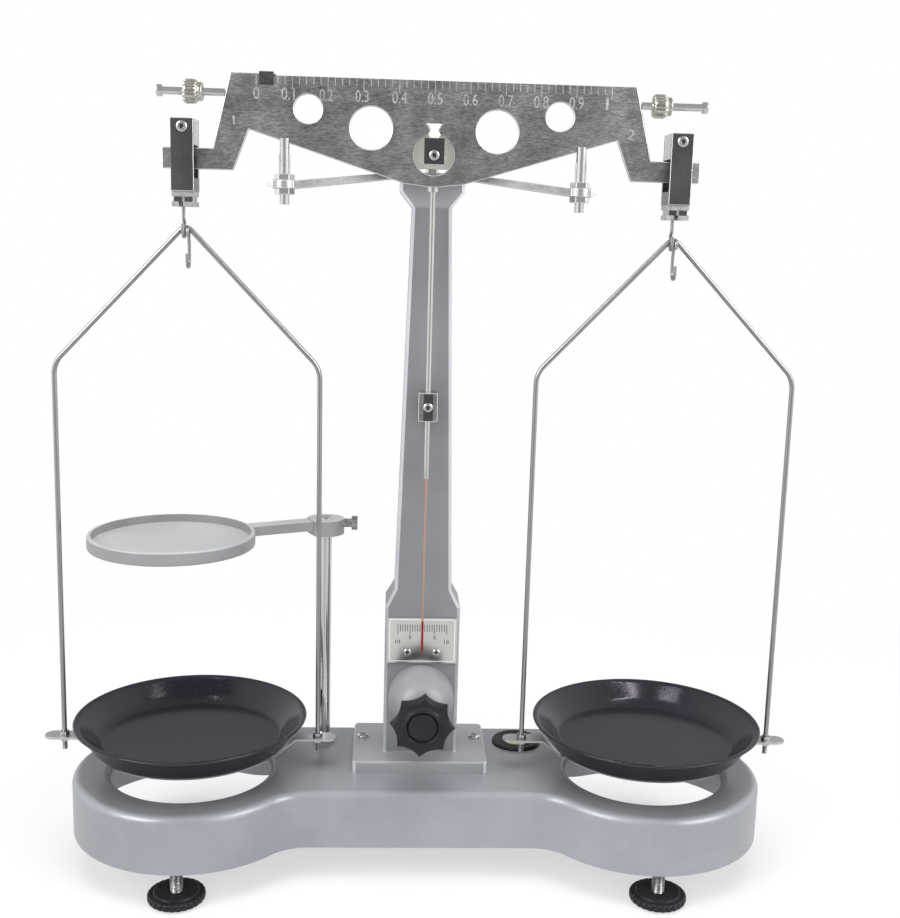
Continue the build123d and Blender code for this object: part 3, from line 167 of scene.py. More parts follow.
# Each lamp is a rectangle that faces its aim: name, place, aim, length, depth (m), power (W).
streaked = bpy.data.collections.new("shows_strip_lamps")
for name, place, aim, length, depth, power in (
    ("left_soft_lamp", (-1.6, -1.3, 1.4), (0, 0, 0.25), 1.2, 1.2, 24),
    ("right_soft_lamp", (1.7, -1.2, 1.3), (0, 0, 0.25), 1.2, 1.2, 20),
    ("top_soft_lamp", (0, -0.3, 2.2), (0, 0, 0.2), 1.6, 1.6, 34),
    ("left_strip_lamp", (-0.4, -0.26, 1.5), (-0.15, 0, 0.1), 0.5, 0.022, 1.3),
    ("right_strip_lamp", (0.45, -0.36, 1.5), (0.15, 0, 0.1), 0.6, 0.022, 1.9),
):
    lamp = bpy.data.lights.new(name, "AREA")
    lamp.shape = "RECTANGLE"
    lamp.size = length
    lamp.size_y = depth
    lamp.energy = power
    holder = bpy.data.objects.new(name, lamp)
    bpy.context.scene.collection.objects.link(holder)
    holder.location = place
    holder.rotation_euler = (Vector(aim) - Vector(place)).to_track_quat("-Z", "Y").to_euler()
    holder.visible_glossy = name != "top_soft_lamp"  # the pans would show it as a grey square
    if "strip" in name:
        holder.light_linking.receiver_collection = streaked


# Base casting: two rings and a bridge, cast hollow and sprayed with a fine silver-grey paint.
# The paint is even and satin, with a faint metal flake and small soft runs.
def effect(name, inputs, outputs):
    """A shader node group with named inputs (name, kind, value) and outputs (name, kind)."""
    group = bpy.data.node_groups.new(name, "ShaderNodeTree")
    for socket, kind, value in inputs:
        made = group.interface.new_socket(socket, in_out="INPUT", socket_type=kind)
        made.default_value = value
    for socket, kind in outputs:
        group.interface.new_socket(socket, in_out="OUTPUT", socket_type=kind)
    return group, group.nodes.new("NodeGroupInput"), group.nodes.new("NodeGroupOutput")


NUMBER, VECTOR = "NodeSocketFloat", "NodeSocketVector"
FINISH = [("Shade", NUMBER), ("Roughness", NUMBER), ("Height", NUMBER)]
PAINT_SPAN = (0.3, 0.44)  # the roughness that paint_skin puts out
RELIEF = 0.0001  # the height of the finest relief, in metres
COLOUR_A, COLOUR_B, COLOUR_OUT = 6, 7, 2  # the colour sockets of a Mix node

paint_skin, given, made = effect(
    "paint_skin", [("Flake", NUMBER, 1500.0), ("Mottle", NUMBER, 18.0)], FINISH)
place = put(paint_skin, "ShaderNodeTexCoord")
flake = put(paint_skin, "ShaderNodeTexNoise",
            {"Vector": (place, "Object"), "Scale": (given, "Flake"), "Detail": 2.0})
mottle = put(paint_skin, "ShaderNodeTexNoise",
             {"Vector": (place, "Object"), "Scale": (given, "Mottle"), "Detail": 4.0,
              "Roughness": 0.6})
fainter = put(paint_skin, "ShaderNodeMath", {0: (flake, "Fac"), 1: 0.45}, operation="MULTIPLY")
total = put(paint_skin, "ShaderNodeMath", {0: (fainter, "Value"), 1: (mottle, "Fac")},
            operation="ADD")
join(paint_skin, ramp(paint_skin, (total, "Value"), 0.45, 1.0), "Result", made, "Shade")
join(paint_skin, ramp(paint_skin, (mottle, "Fac"), 0.3, 0.7, *PAINT_SPAN), "Result",
     made, "Roughness")
join(paint_skin, flake, "Fac", made, "Height")


def finished(name, group, settings, dark, light, span, rough, bump):
    """A material with the finish of a node group: its shade lies between two colours, and the
    span of its roughness is drawn out to rough. Also returned is its shader."""
    material = bpy.data.materials.new(name)
    material.use_nodes = True
    tree = material.node_tree
    shader = tree.nodes["Principled BSDF"]
    skin = put(tree, "ShaderNodeGroup", settings, node_tree=group)
    tint = put(tree, "ShaderNodeMix",
               {0: (skin, "Shade"), COLOUR_A: (*dark, 1), COLOUR_B: (*light, 1)},
               data_type="RGBA")
    join(tree, tint, COLOUR_OUT, shader, "Base Color")
    join(tree, ramp(tree, (skin, "Roughness"), *span, *rough), "Result", shader, "Roughness")
    relief = put(tree, "ShaderNodeBump",
                 {"Strength": bump, "Distance": RELIEF, "Height": (skin, "Height")})
    join(tree, relief, "Normal", shader, "Normal")
    return material, shader


def paint(name, dark, light, flake, mottle, metallic=0.0, bump=0.0, coat=0.0, rough=PAINT_SPAN,
          shine=0.5):
    """Paint or moulding between two shades and two roughnesses, from the paint_skin group."""
    material, shader = finished(name, paint_skin, {"Flake": flake, "Mottle": mottle},
                                dark, light, PAINT_SPAN, rough, bump)
    shader.inputs["Metallic"].default_value = metallic
    shader.inputs["Coat Weight"].default_value = coat
    shader.inputs["Coat Roughness"].default_value = 0.15
    shader.inputs["Specular IOR Level"].default_value = shine
    return material


def wear(material, *names):
    """The material goes on these solids of the frame."""
    for name in names:
        nodes[name].data.materials.clear()
        nodes[name].data.materials.append(material)


silver_paint = paint("silver_grey_paint", (0.3, 0.31, 0.34), (0.42, 0.43, 0.46), flake=1800,
                     mottle=14, metallic=0.35, bump=0.25, coat=0.25)
wear(silver_paint, "base_casting")


# Feet: screwed steel studs in the bosses of the base, each with a black moulded knob at its foot.
# The knob has fine notches round its rim, a raised middle, and the stud's worn thread above it.
GRAIN_SPAN = (0.12, 0.38)  # most of the roughness that drawn_grain puts out

drawn_grain, given, made = effect(
    "drawn_grain", [("Stretch", VECTOR, (900.0, 900.0, 60.0))], FINISH)
place = put(drawn_grain, "ShaderNodeTexCoord")
stretch = put(drawn_grain, "ShaderNodeMapping",
              {"Vector": (place, "Object"), "Scale": (given, "Stretch")})
lines = put(drawn_grain, "ShaderNodeTexNoise",
            {"Vector": (stretch, "Vector"), "Scale": 1.0, "Detail": 3.0, "Roughness": 0.6})
patches = put(drawn_grain, "ShaderNodeTexNoise",
              {"Vector": (place, "Object"), "Scale": 70.0, "Detail": 3.0})
gloss = put(drawn_grain, "ShaderNodeMath", {0: (lines, "Fac"), 1: (patches, "Fac")},
            operation="MULTIPLY")
join(drawn_grain, ramp(drawn_grain, (lines, "Fac"), 0.3, 0.7), "Result", made, "Shade")
join(drawn_grain, gloss, "Value", made, "Roughness")
join(drawn_grain, lines, "Fac", made, "Height")


def metal(name, dark, light, rough, stretch, bump=0.0):
    """Bare or plated metal between two shades and two roughnesses, from drawn_grain."""
    material, shader = finished(name, drawn_grain, {"Stretch": stretch}, dark, light,
                                GRAIN_SPAN, rough, bump)
    shader.inputs["Metallic"].default_value = 1.0
    return material


def net(rows, columns, ring, loop):
    """Quads of a grid of points: ring joins each row round, loop joins the last row to the
    first."""
    i = np.arange(rows if loop else rows - 1)[:, None]
    j = np.arange(columns if ring else columns - 1)[None, :]
    up, on = (i + 1) % rows, (j + 1) % columns
    corners = [i * columns + j, i * columns + on, up * columns + on, up * columns + j]
    return np.stack(np.broadcast_arrays(*corners), -1).reshape(-1, 4)


def solid(name, parts, material, body, *stands_for, crease=35):
    """A mesh from grids of points in mm, each given as (points, ring, loop). Doubles are merged,
    faces turned outwards, and edges sharper than the crease angle stay sharp."""
    points = [part[0].reshape(-1, 3) for part in parts]
    starts = np.cumsum([0] + [len(group) for group in points])
    quads = [net(*part[0].shape[:2], *part[1:]) + start for part, start in zip(parts, starts)]
    mesh = bpy.data.meshes.new(name)
    mesh.from_pydata((np.concatenate(points) * MM).tolist(), [], np.concatenate(quads).tolist())
    shape = bmesh.new()
    shape.from_mesh(mesh)
    bmesh.ops.remove_doubles(shape, verts=shape.verts, dist=1e-7)
    bmesh.ops.recalc_face_normals(shape, faces=shape.faces)
    shape.to_mesh(mesh)
    shape.free()
    mesh.shade_smooth()
    mesh.set_sharp_from_angle(angle=radians(crease))
    mesh.materials.append(material)
    piece = bpy.data.objects.new(name, mesh)
    bpy.context.scene.collection.objects.link(piece)
    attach(piece, body)
    if stands_for:
        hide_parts(*stands_for)
    return piece


def eased(corners, steps=7):
    """A line through corners, the last number of each being its ease e: a parabola
    (1-t)^2 a + 2t(1-t) c + t^2 b replaces the corner c between the points a and b at e from it."""
    corners = np.array(corners, float)
    p, ease = corners[:, :-1], corners[:, -1:]
    back, on = np.roll(p, 1, 0) - p, np.roll(p, -1, 0) - p
    a = p + ease * back / np.maximum(np.linalg.norm(back, axis=1, keepdims=True), 1e-9)
    b = p + ease * on / np.maximum(np.linalg.norm(on, axis=1, keepdims=True), 1e-9)
    t = np.linspace(0, 1, steps)[None, :, None]
    curve = (1 - t) ** 2 * a[:, None] + 2 * t * (1 - t) * p[:, None] + t ** 2 * b[:, None]
    line = curve.reshape(-1, p.shape[1])
    step = np.linalg.norm(np.diff(line, axis=0), axis=1)
    return line[np.concatenate([[True], step > 1e-4])]


def turned(profile, centre, axis, segments, swell=None, loop=False):
    """A profile (r, h) turned about an axis through the centre: (r cos t, r sin t, h).
    Where swell is given, it returns the radius from r, t and h."""
    r, h = np.array(profile, float).T[:, :, None]
    t = np.linspace(0, 2 * pi, segments, endpoint=False)[None, :]
    r = swell(r, t, h) if swell else r + 0 * t
    ring = np.stack([r * np.cos(t), r * np.sin(t), h + 0 * t], -1)
    order = {"z": [0, 1, 2], "x": [2, 0, 1], "y": [1, 2, 0]}[axis]
    return ring[..., order] + np.array(centre, float), True, loop


def threaded(radius, depth, pitch, low, high, centre, segments):
    """An upright screw thread from low to high, with flat ends. Its radius is
    R - depth (1 - cos(2 pi h / pitch - t)) / 2. At each end the groove runs out over a pitch."""
    rows_per_turn = 7
    h = np.linspace(low, high, int((high - low) / pitch * rows_per_turn))
    profile = np.stack([0 * h + radius, h], -1)
    profile = np.concatenate([[[0, low]], profile, [[0, high]]])

    def groove(r, t, h):
        """The radius of the threaded wall at each height and angle."""
        run_out = np.clip((h - low) / pitch, 0, 1) * np.clip((high - h) / pitch, 0, 1)
        wave = (1 - np.cos(2 * pi * h / pitch - t)) / 2
        return np.where(r > 0, r - depth * wave * run_out, 0 * t)
    return turned(profile, centre, "z", segments, groove)


def notched(r, t, h):
    """The radius less 0.8 mm in each of 26 round notches, which fade out between the radii
    17.4 and 14 mm."""
    share = np.clip((r - 14) / 3.4, 0, 1)
    return r - share * 0.8 * np.clip(np.cos(26 * t), 0, 1) ** 3


knob_plastic = paint("knob_plastic", (0.01, 0.01, 0.012), (0.028, 0.028, 0.033), flake=1400,
                     mottle=60, bump=0.35, rough=(0.26, 0.38), shine=0.25)
thread_metal = metal("worn_thread", (0.2, 0.2, 0.2), (0.66, 0.66, 0.65), rough=(0.2, 0.45),
                     stretch=(700, 700, 700), bump=0.6)
foot_profile = eased([
    (0, 0, 0), (14.6, 0, 0.4), (17.8, 1.4, 1.2), (17.8, 4.7, 0.7), (16.8, 5.6, 0.5),
    (14.1, 5.7, 0.3), (13.6, 7.0, 0.5), (5.6, 7.0, 0.4), (4.05, 6.4, 0.2), (4.05, 2.95, 0),
    (0, 2.95, 0)])
for hand, x in SIDES:
    foot = (x, -64, 0)
    solid(hand + "_foot_wheel_moulding", [turned(foot_profile, foot, "z", 208, notched)],
          knob_plastic, hand + "_foot_wheel", hand + "_foot_knob")
    thread = threaded(radius=4.0, depth=0.5, pitch=1.25, low=3.05, high=46, centre=foot,
                      segments=24)
    solid(hand + "_foot_screw", [thread], thread_metal, hand + "_foot", hand + "_foot_stud")

# Rear foot: a plain black rubber peg pressed on the boss under the bridge.
# It stands behind the front feet's line, where no front view shows it.
black_rubber = paint("black_rubber", (0.012, 0.012, 0.013), (0.03, 0.03, 0.032), flake=900,
                     mottle=40, bump=0.5)
wear(black_rubber, "rear_foot")


# Column: one aluminium casting with its foot flange, block, shaft and head, in silver-grey paint.
# It is screwed to the base through the flange. Painted shade makes the block and shaft darker than
# the flange and the head, and a painted highlight makes the rounded upright edges bright.
def softened(node, width, material, body, rim=None):
    """A merged copy of a solid, with its sharp edges rounded by the width in mm, stands for it.
    The rounded edges take the rim material where one is given."""
    sharp = radians(30)
    mesh = nodes[node].data.copy()
    mesh.name = node + "_eased"
    shape = bmesh.new()
    shape.from_mesh(mesh)
    bmesh.ops.remove_doubles(shape, verts=shape.verts, dist=1e-6)
    bmesh.ops.dissolve_limit(shape, angle_limit=radians(1), verts=shape.verts, edges=shape.edges)
    bmesh.ops.recalc_face_normals(shape, faces=shape.faces)
    shape.to_mesh(mesh)
    shape.free()
    if "custom_normal" in mesh.attributes:
        mesh.attributes.remove(mesh.attributes["custom_normal"])
    mesh.materials.clear()
    mesh.materials.append(material)
    mesh.shade_smooth()
    mesh.set_sharp_from_angle(angle=sharp)
    piece = bpy.data.objects.new(node + "_eased", mesh)
    bpy.context.scene.collection.objects.link(piece)
    edge = piece.modifiers.new("edge", "BEVEL")
    edge.width = width * MM
    edge.segments = 2
    edge.limit_method = "ANGLE"
    edge.angle_limit = sharp
    edge.harden_normals = True
    if rim:
        mesh.materials.append(rim)
        edge.material = 1
        edge.use_clamp_overlap = False
    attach(piece, body)
    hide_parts(node)


def scaled(material, share):
    """The base colour is multiplied by the share, which a (node, output) pair gives."""
    tree = material.node_tree
    colour = tree.nodes["Principled BSDF"].inputs["Base Color"]
    product = put(tree, "ShaderNodeVectorMath", {"Scale": share}, operation="SCALE")
    tree.links.new(colour.links[0].from_socket, product.inputs[0])
    tree.links.new(product.outputs[0], colour)


FLANGE_TOP = (0.0678, 0.069)  # the flange gives way to the block between these heights, in metres
HEAD_FOOT = (0.424, 0.426)  # and the shaft to the head between these

column_paint = paint("column_paint", (0.29, 0.295, 0.31), (0.4, 0.405, 0.42), flake=2200,
                     mottle=10, metallic=0.35, bump=0.2, coat=0.2)
tree = column_paint.node_tree
place = put(tree, "ShaderNodeTexCoord")
height = put(tree, "ShaderNodeSeparateXYZ", {"Vector": (place, "Object")})
# Painted shade and light by height: the colour is scaled by 1.22 on the flange, 0.78 on the block
# and shaft, and 1.18 on the head.
shaft_painted_shade = ramp(tree, (height, "Z"), *FLANGE_TOP, 1.22, 0.78)
head_painted_highlight = ramp(tree, (height, "Z"), *HEAD_FOOT, 0.0, 0.4)
painted_light_by_height = put(tree, "ShaderNodeMath", {0: (shaft_painted_shade, "Result"), 1: (head_painted_highlight, "Result")},
                operation="ADD")
# Painted highlight: faces turned half way between x and y, the rounded upright edges, are painted
# up to 2.1 times brighter.
normal = put(tree, "ShaderNodeNewGeometry")
facing = put(tree, "ShaderNodeSeparateXYZ", {"Vector": (normal, "Normal")})
slant = put(tree, "ShaderNodeMath", {0: (facing, "X"), 1: (facing, "Y")}, operation="MULTIPLY")
across = put(tree, "ShaderNodeMath", {0: (slant, "Value")}, operation="ABSOLUTE")
column_edge_highlight = ramp(tree, (across, "Value"), 0.12, 0.4, 1.0, 2.1)
share = put(tree, "ShaderNodeMath", {0: (painted_light_by_height, "Value"), 1: (column_edge_highlight, "Result")},
            operation="MULTIPLY")
scaled(column_paint, (share, "Value"))
softened("column", 0.45, column_paint, "base")
screw_metal = metal("bright_screw", (0.5, 0.5, 0.51), (0.78, 0.78, 0.79), rough=(0.14, 0.32),
                    stretch=(500, 500, 500), bump=0.2)
# Painted shade: the socket in each screw head is painted near black.
socket_painted_shade = paint("socket_painted_shade", (0.03, 0.03, 0.03), (0.07, 0.07, 0.07), flake=900, mottle=60,
                    metallic=0.5, bump=0.2)


def screws(name, places, radius, depth, axis, body, *stands_for):
    """Round-edged heads with a dark socket: each place is its seat's centre, and depth is signed
    along the axis. The head is a turned ring, and the socket a sunken disc in its middle, painted
    near black as painted shade."""
    head = eased([(0, 0.0, 0), (radius, 0.0, 0), (radius, 0.55, 0.35), (0.72 * radius, 1.0, 0.2),
                  (0.42 * radius, 1.0, 0.1), (0.36 * radius, 0.45, 0)], 5)
    head[:, 1] *= depth
    hole = np.array([(0.36 * radius, 0.45 * depth), (0, 0.4 * depth)])
    solid(name, [turned(head, place, axis, 28) for place in places], screw_metal, body,
          *stands_for)
    solid(name + "_sockets", [turned(hole, place, axis, 16) for place in places], socket_painted_shade,
          body)


screws("flange_screws", [(-38.2, 29.5, 67.55), (38.2, 29.5, 67.55)], 4.0, 2.35, "z", "base",
       "column_screws")


# Arrest control: a knob on a shaft that passes through a bullet-shaped housing on the block.
# The housing has a lighter, duller coat of the paint. The knob is black plastic with eight points.
def pointed(r, t, h):
    """Eight points with hollows between: each hollow is an arc, so at the angle a from its middle
    the radius is 35 cos a - sqrt(313.3 - (35 sin a)^2), and at most 20.6 mm. The points fade out
    inwards between the radii 20 and 11 mm, and leave out the hub behind the rim."""
    step = pi / 4
    share = np.clip((r - 11) / 9.0, 0, 1) * (h < -41.2)
    a = (t - radians(4) + step / 2) % step - step / 2
    a = step / 2 - np.abs(a)
    hollow = 35 * np.cos(a) - np.sqrt(np.clip(313.3 - (35 * np.sin(a)) ** 2, 0, None))
    return r - share * (20.6 - np.minimum(hollow, 20.6))


dome_paint = paint("dome_paint", (0.31, 0.31, 0.32), (0.38, 0.38, 0.395), flake=2600, mottle=12,
                   metallic=0.3, bump=0.1, rough=(0.46, 0.56))
wear(dome_paint, "arrest_dome")
plated_steel = metal("plated_steel", (0.66, 0.67, 0.66), (0.74, 0.75, 0.74), rough=(0.1, 0.18),
                     stretch=(60, 60, 30))
wear(plated_steel, "arrest_shaft", "lift_rod")
black_moulding = paint("arrest_knob_plastic", (0.01, 0.009, 0.012), (0.02, 0.019, 0.023),
                       flake=900, mottle=60, bump=0.2, rough=(0.26, 0.36), shine=0.3)
knob_profile = eased([
    (0, -26.2, 0), (8, -26.2, 0.8), (8, -41.0, 0.6), (11, -42.0, 0.5), (19.2, -42.0, 0.6),
    (20.6, -43.2, 0.8), (20.6, -47.0, 0.9), (19.0, -48.7, 0.8), (13.4, -49.3, 0.5),
    (12.3, -50.2, 0.4), (11.6, -51.0, 0.4), (10.4, -50.9, 0.4), (9.5, -49.3, 0.2),
    (9.1, -48.9, 0.15), (8.9, -49.6, 0.25), (8.2, -49.9, 0.3), (0, -49.9, 0)])
solid("arrest_knob_moulding", [turned(knob_profile, (0, 0, 107.4), "y", 240, pointed)],
      black_moulding, "arrest_control", "arrest_knob", crease=28)


# Pointer scale: a polished plate with a printed scale, held on the block by two small screws.
# It is a dull mirror, and shows the dark knob below it as a soft patch in its middle.
def strokes(rows, front):
    """Upright marks on the plane y = front: each row is x, low z, high z, width."""
    x, low, high, width = np.array(rows, float).T
    left, right = x - width / 2, x + width / 2
    y = 0 * x + front
    corners = [(left, y, low), (right, y, low), (right, y, high), (left, y, high)]
    return np.stack([np.stack(corner, -1) for corner in corners], 1)


def numbers(rows, front):
    """Points and faces of flat numbers: each is text, centre x, centre z, width, height, turn."""
    points, faces, start = [], [], 0
    for text, x, z, width, height, turn in rows:
        line = bpy.data.curves.new("number", "FONT")
        line.body = text
        line.resolution_u = 4
        holder = bpy.data.objects.new("number", line)
        bpy.context.scene.collection.objects.link(holder)
        flat = bpy.data.meshes.new_from_object(holder)
        at = np.empty(len(flat.vertices) * 3, dtype=np.float32)
        flat.vertices.foreach_get("co", at)
        at = at.reshape(-1, 3)[:, :2].astype(float)
        low, high = at.min(0), at.max(0)
        at = (at - (low + high) / 2) / (high - low) * (width, height)
        c, s = cos(radians(turn)), sin(radians(turn))
        points.append(np.stack([x + c * at[:, 0] - s * at[:, 1], 0 * at[:, 0] + front,
                                z + s * at[:, 0] + c * at[:, 1]], -1))
        faces += [[start + corner for corner in face.vertices] for face in flat.polygons]
        start += len(at)
        bpy.data.objects.remove(holder)
        bpy.data.curves.remove(line)
        bpy.data.meshes.remove(flat)
    return np.concatenate(points), faces


def marking(name, rows, words, front, material, body):
    """Strokes and numbers on the plane y = front, as one flat mesh that faces the front."""
    bars = strokes(rows, front).reshape(-1, 3)
    quads = np.arange(len(bars)).reshape(-1, 4).tolist()
    figures, faces = numbers(words, front) if words else (np.empty((0, 3)), [])
    mesh = bpy.data.meshes.new(name)
    mesh.from_pydata((np.concatenate([bars, figures]) * MM).tolist(), [],
                     quads + [[len(bars) + corner for corner in face] for face in faces])
    mesh.materials.append(material)
    piece = bpy.data.objects.new(name, mesh)
    bpy.context.scene.collection.objects.link(piece)
    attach(piece, body)


mirror_plate = metal("polished_scale_plate", (0.74, 0.74, 0.71), (0.82, 0.82, 0.79),
                     rough=(0.16, 0.24), stretch=(50, 50, 50), bump=0.03)
softened("scale_plate", 0.25, mirror_plate, "base")
screws("scale_plate_screws", [(-9.5, 2.95, 138), (9.5, 2.95, 138)], 2.5, -0.9, "y", "base",
       "scale_screws")
black_print = paint("black_print", (0.01, 0.01, 0.01), (0.03, 0.03, 0.03), flake=900, mottle=60)
white_print = paint("white_print", (0.8, 0.8, 0.8), (0.88, 0.88, 0.88), flake=900, mottle=60)
long_mark, short_mark, mark_top = 150.6, 152.2, 157.0
marking(
    "scale_print",
    [(1.6 * k, short_mark if k % 5 else long_mark, mark_top, 0.42) for k in range(-10, 11)],
    [("5", -8, 148.2, 1.7, 2.6, 0), ("5", 8, 148.2, 1.7, 2.6, 0),
     ("10", -16, 145.2, 3.1, 2.6, 0), ("10", 16, 145.2, 3.1, 2.6, 0)],
    front=2.97, material=black_print, body="base")
marking(
    "scale_frame",
    [(-21.3, 132.0, 160.2, 0.5), (21.3, 132.0, 160.2, 0.5), (0, 131.7, 132.2, 43.1),
     (0, 160.0, 160.5, 43.1)],
    [], front=2.97, material=white_print, body="base")

# Arrest arms: a bare cast yoke behind the column's head, with two forked steel pins and nuts.
# The pins stand in the arms' ends and catch the beam when the arrest knob lowers it.
cast_arm = metal("bare_casting", (0.6, 0.6, 0.61), (0.72, 0.72, 0.73), rough=(0.3, 0.44),
                 stretch=(300, 300, 300), bump=0.2)
# Painted highlight: the rounded edges of the arms, pin nuts, beam, bob and stirrup plates take
# this near-white metal.
painted_edge_highlight = metal("painted_edge_highlight", (0.86, 0.86, 0.86), (0.95, 0.95, 0.95), rough=(0.35, 0.5),
                    stretch=(500, 500, 500))
softened("support_arms", 0.5, cast_arm, "base", painted_edge_highlight)
wear(plated_steel, "support_pins")
softened("support_pin_nuts", 0.4, plated_steel, "base", painted_edge_highlight)

# Bearing: a bracket on the lift rod carries the agate plate that the centre knife rocks on.
# A black stop plate with one bright screw closes it in front.
bracket_metal = paint("bracket_plate", (0.93, 0.92, 0.8), (1.0, 1.0, 0.93), flake=300, mottle=60,
                      coat=0.2)
agate = paint("agate", (0.5, 0.46, 0.4), (0.75, 0.72, 0.66), flake=200, mottle=300, coat=0.8)
dark_plate = paint("dark_anodised", (0.028, 0.028, 0.03), (0.06, 0.06, 0.063), flake=2500,
                   mottle=50, metallic=0.3, bump=0.1, coat=0.1)
softened("bearing_bracket", 0.3, bracket_metal, "lift")
wear(agate, "centre_bearing", "left_stirrup_bearing", "right_stirrup_bearing")
softened("stop_plate", 0.25, dark_plate, "lift")
screws("stop_plate_screw", [(0, -9.0, 455.3)], 3.2, -1.2, "y", "lift", "stop_screw")

# Level: a black disc let into the base, with a groove round a small window of green liquid.
# The case is a turned shell that is left open on its underside.
level_black = paint("level_black", (0.008, 0.008, 0.009), (0.02, 0.02, 0.021), flake=900,
                    mottle=60, bump=0.2, rough=(0.34, 0.44), shine=0.35)
level_profile = eased([
    (0, 57.4, 0), (8.65, 57.4, 0), (8.65, 61.5, 0.2), (9.6, 61.9, 0.3), (11.6, 61.9, 0.2),
    (12.2, 61.4, 0.2), (13.0, 61.4, 0.2), (13.5, 61.9, 0.2), (15.6, 61.9, 0.5), (16.8, 61.0, 0.5),
    (16.8, 59.55, 0.1), (0, 59.0, 0)])
solid("level_case", [turned(level_profile[:-1], (68.5, 41, 0), "z", 96)], level_black, "base",
      "level_housing")
vial_glass = paint("vial_liquid", (0.3, 0.42, 0.03), (0.5, 0.62, 0.08), flake=300, mottle=90,
                   coat=1.0)
wear(vial_glass, "level_vial")

# Tray: a small painted dish, in one piece with the arm that seats on a collar. A screw clamps the
# collar at any height on a steel post. Upright faces are painted darker, a painted shade.
tray_paint = paint("tray_paint", (0.42, 0.425, 0.43), (0.52, 0.525, 0.53), flake=900, mottle=20,
                   metallic=0.1, bump=0.2, coat=0.1)
tree = tray_paint.node_tree
# Painted shade: the colour is scaled down to 0.62 on faces that turn from straight up to the side.
normal = put(tree, "ShaderNodeNewGeometry")
facing = put(tree, "ShaderNodeSeparateXYZ", {"Vector": (normal, "Normal")})
scaled(tray_paint, (ramp(tree, (facing, "Z"), 0.1, 0.7, 0.62, 1.0), "Result"))
wear(tray_paint, "tray_dish")
softened("tray_collar", 1.0, tray_paint, "tray")
wear(plated_steel, "tray_post")
wear(thread_metal, "tray_clamp_screw")
softened("tray_post_nuts", 0.4, screw_metal, "base")

# Beam: a 3 mm aluminium plate, sawn and drilled, ground flat in short strokes along its length.
# The strokes' tone varies in soft blotches, and a painted highlight makes the plate lighter
# towards the right end. The rider's scale is cut into it, bright and shallow.
ground_plate = metal("ground_plate", (0.235, 0.222, 0.226), (0.44, 0.434, 0.437),
                     rough=(0.3, 0.46), stretch=(380, 400, 1600), bump=0.4)
tree = ground_plate.node_tree
place = put(tree, "ShaderNodeTexCoord")
blotches = put(tree, "ShaderNodeTexNoise",
               {"Vector": (place, "Object"), "Scale": 34.0, "Detail": 4.0, "Roughness": 0.62})
uneven = ramp(tree, (blotches, "Fac"), 0.36, 0.64, 0.78, 1.32)
along = put(tree, "ShaderNodeSeparateXYZ", {"Vector": (place, "Object")})
# Painted highlight: the colour is raised by up to 0.16 from x = 0.08 to 0.15 m, towards the right
# end.
right_end_painted_highlight = ramp(tree, (along, "X"), 0.08, 0.15, 0.0, 0.16, "SMOOTHSTEP")
amount = put(tree, "ShaderNodeMath", {0: (uneven, "Result"), 1: (right_end_painted_highlight, "Result")},
             operation="ADD")
scaled(ground_plate, (amount, "Value"))
softened("beam", 0.5, ground_plate, "beam_unit", painted_edge_highlight)
softened("centre_knife", 0.2, bracket_metal, "beam_unit")
softened("end_knives", 0.2, screw_metal, "beam_unit")
cut_metal = metal("cut_marks", (0.62, 0.62, 0.62), (0.82, 0.82, 0.82), rough=(0.35, 0.5),
                  stretch=(400, 400, 400), bump=0.3)
zero_x, fiftieth, tenth = -107.1, 4.284, 21.42
cuts = []
for k in range(51):
    top = 499.3 if k > 2 else 500.2  # the first three cuts lie higher
    cuts.append((zero_x + fiftieth * k, top - (4.8 if k % 5 else 7.6), top, 0.5))
figures = [(text, zero_x + tenth * k + shift, 488.9, width, 7.0, 0)
           for k, (text, shift, width) in enumerate([
               ("0", 0, 3.6), ("0.1", -2.5, 7.9), ("0.2", -1.1, 7.9), ("0.3", -1.1, 7.9),
               ("0.4", 0, 8.8), ("0.5", 0, 8.8), ("0.6", 0, 8.8), ("0.7", 0, 8.8),
               ("0.8", 0, 8.8), ("0.9", 0, 8.8), ("1", -2.7, 1.6)])]
end_figures = [("2", 120, 471.4, 3.8, 6.0, -12), ("1", -120.5, 472.8, 1.2, 5.0, 4)]
marking("beam_scale", cuts, figures + end_figures, front=-1.54, material=cut_metal,
        body="beam_unit")


# Rods and balance nuts: a steel rod with a round head is screwed into each end of the beam.
# A fluted brass nut, nickel plated, is turned along it to set the balance's zero.
def fluted(r, t, h):
    """The radius less 0.7 mm in each of 18 flutes of the nut's rim, which fade out between the
    radii 7.1 and 5.9 mm and end at the collar."""
    share = np.clip((r - 5.9) / 1.2, 0, 1) * (h < 8.6)
    return r - share * 0.7 * np.clip(np.cos(18 * t), 0, 1)


nickel = metal("nickel_plate", (0.5, 0.49, 0.44), (0.76, 0.74, 0.67), rough=(0.12, 0.28),
               stretch=(600, 600, 600), bump=0.4)
wear(plated_steel, "beam_rods")
nut_profile = eased([
    (2.45, 0.5, 0.0), (4.6, 0.5, 0.3), (6.2, 0.0, 0.6), (7.15, 1.5, 0.9), (7.15, 7.0, 0.9),
    (6.0, 8.6, 0.6), (5.2, 8.7, 0.2), (5.5, 9.6, 0.5), (5.5, 11.0, 0.5), (4.6, 11.6, 0.4),
    (2.45, 11.6, 0.0)])
for hand, x in (("left", -150.5), ("right", 132.6)):
    solid(hand + "_fluted_nut", [turned(nut_profile, (x, 0, 488.7), "x", 144, fluted, True)],
          nickel, hand + "_nut", hand + "_balance_nut", crease=40)

# Rider: a small blackened saddle that slides along the beam's top edge, over the cut scale.
# Fine lighter ribs are drawn on its front face.
softened("rider", 0.2, dark_plate, "rider_weight")
rib_metal = metal("rider_ribs", (0.12, 0.12, 0.12), (0.3, 0.3, 0.3), rough=(0.3, 0.5),
                  stretch=(400, 400, 400), bump=0.3)
marking("rider_ribs", [(k - 104.6, 494.6, 500.4, 0.22) for k in range(8)], [], front=-2.72,
        material=rib_metal, body="rider_weight")


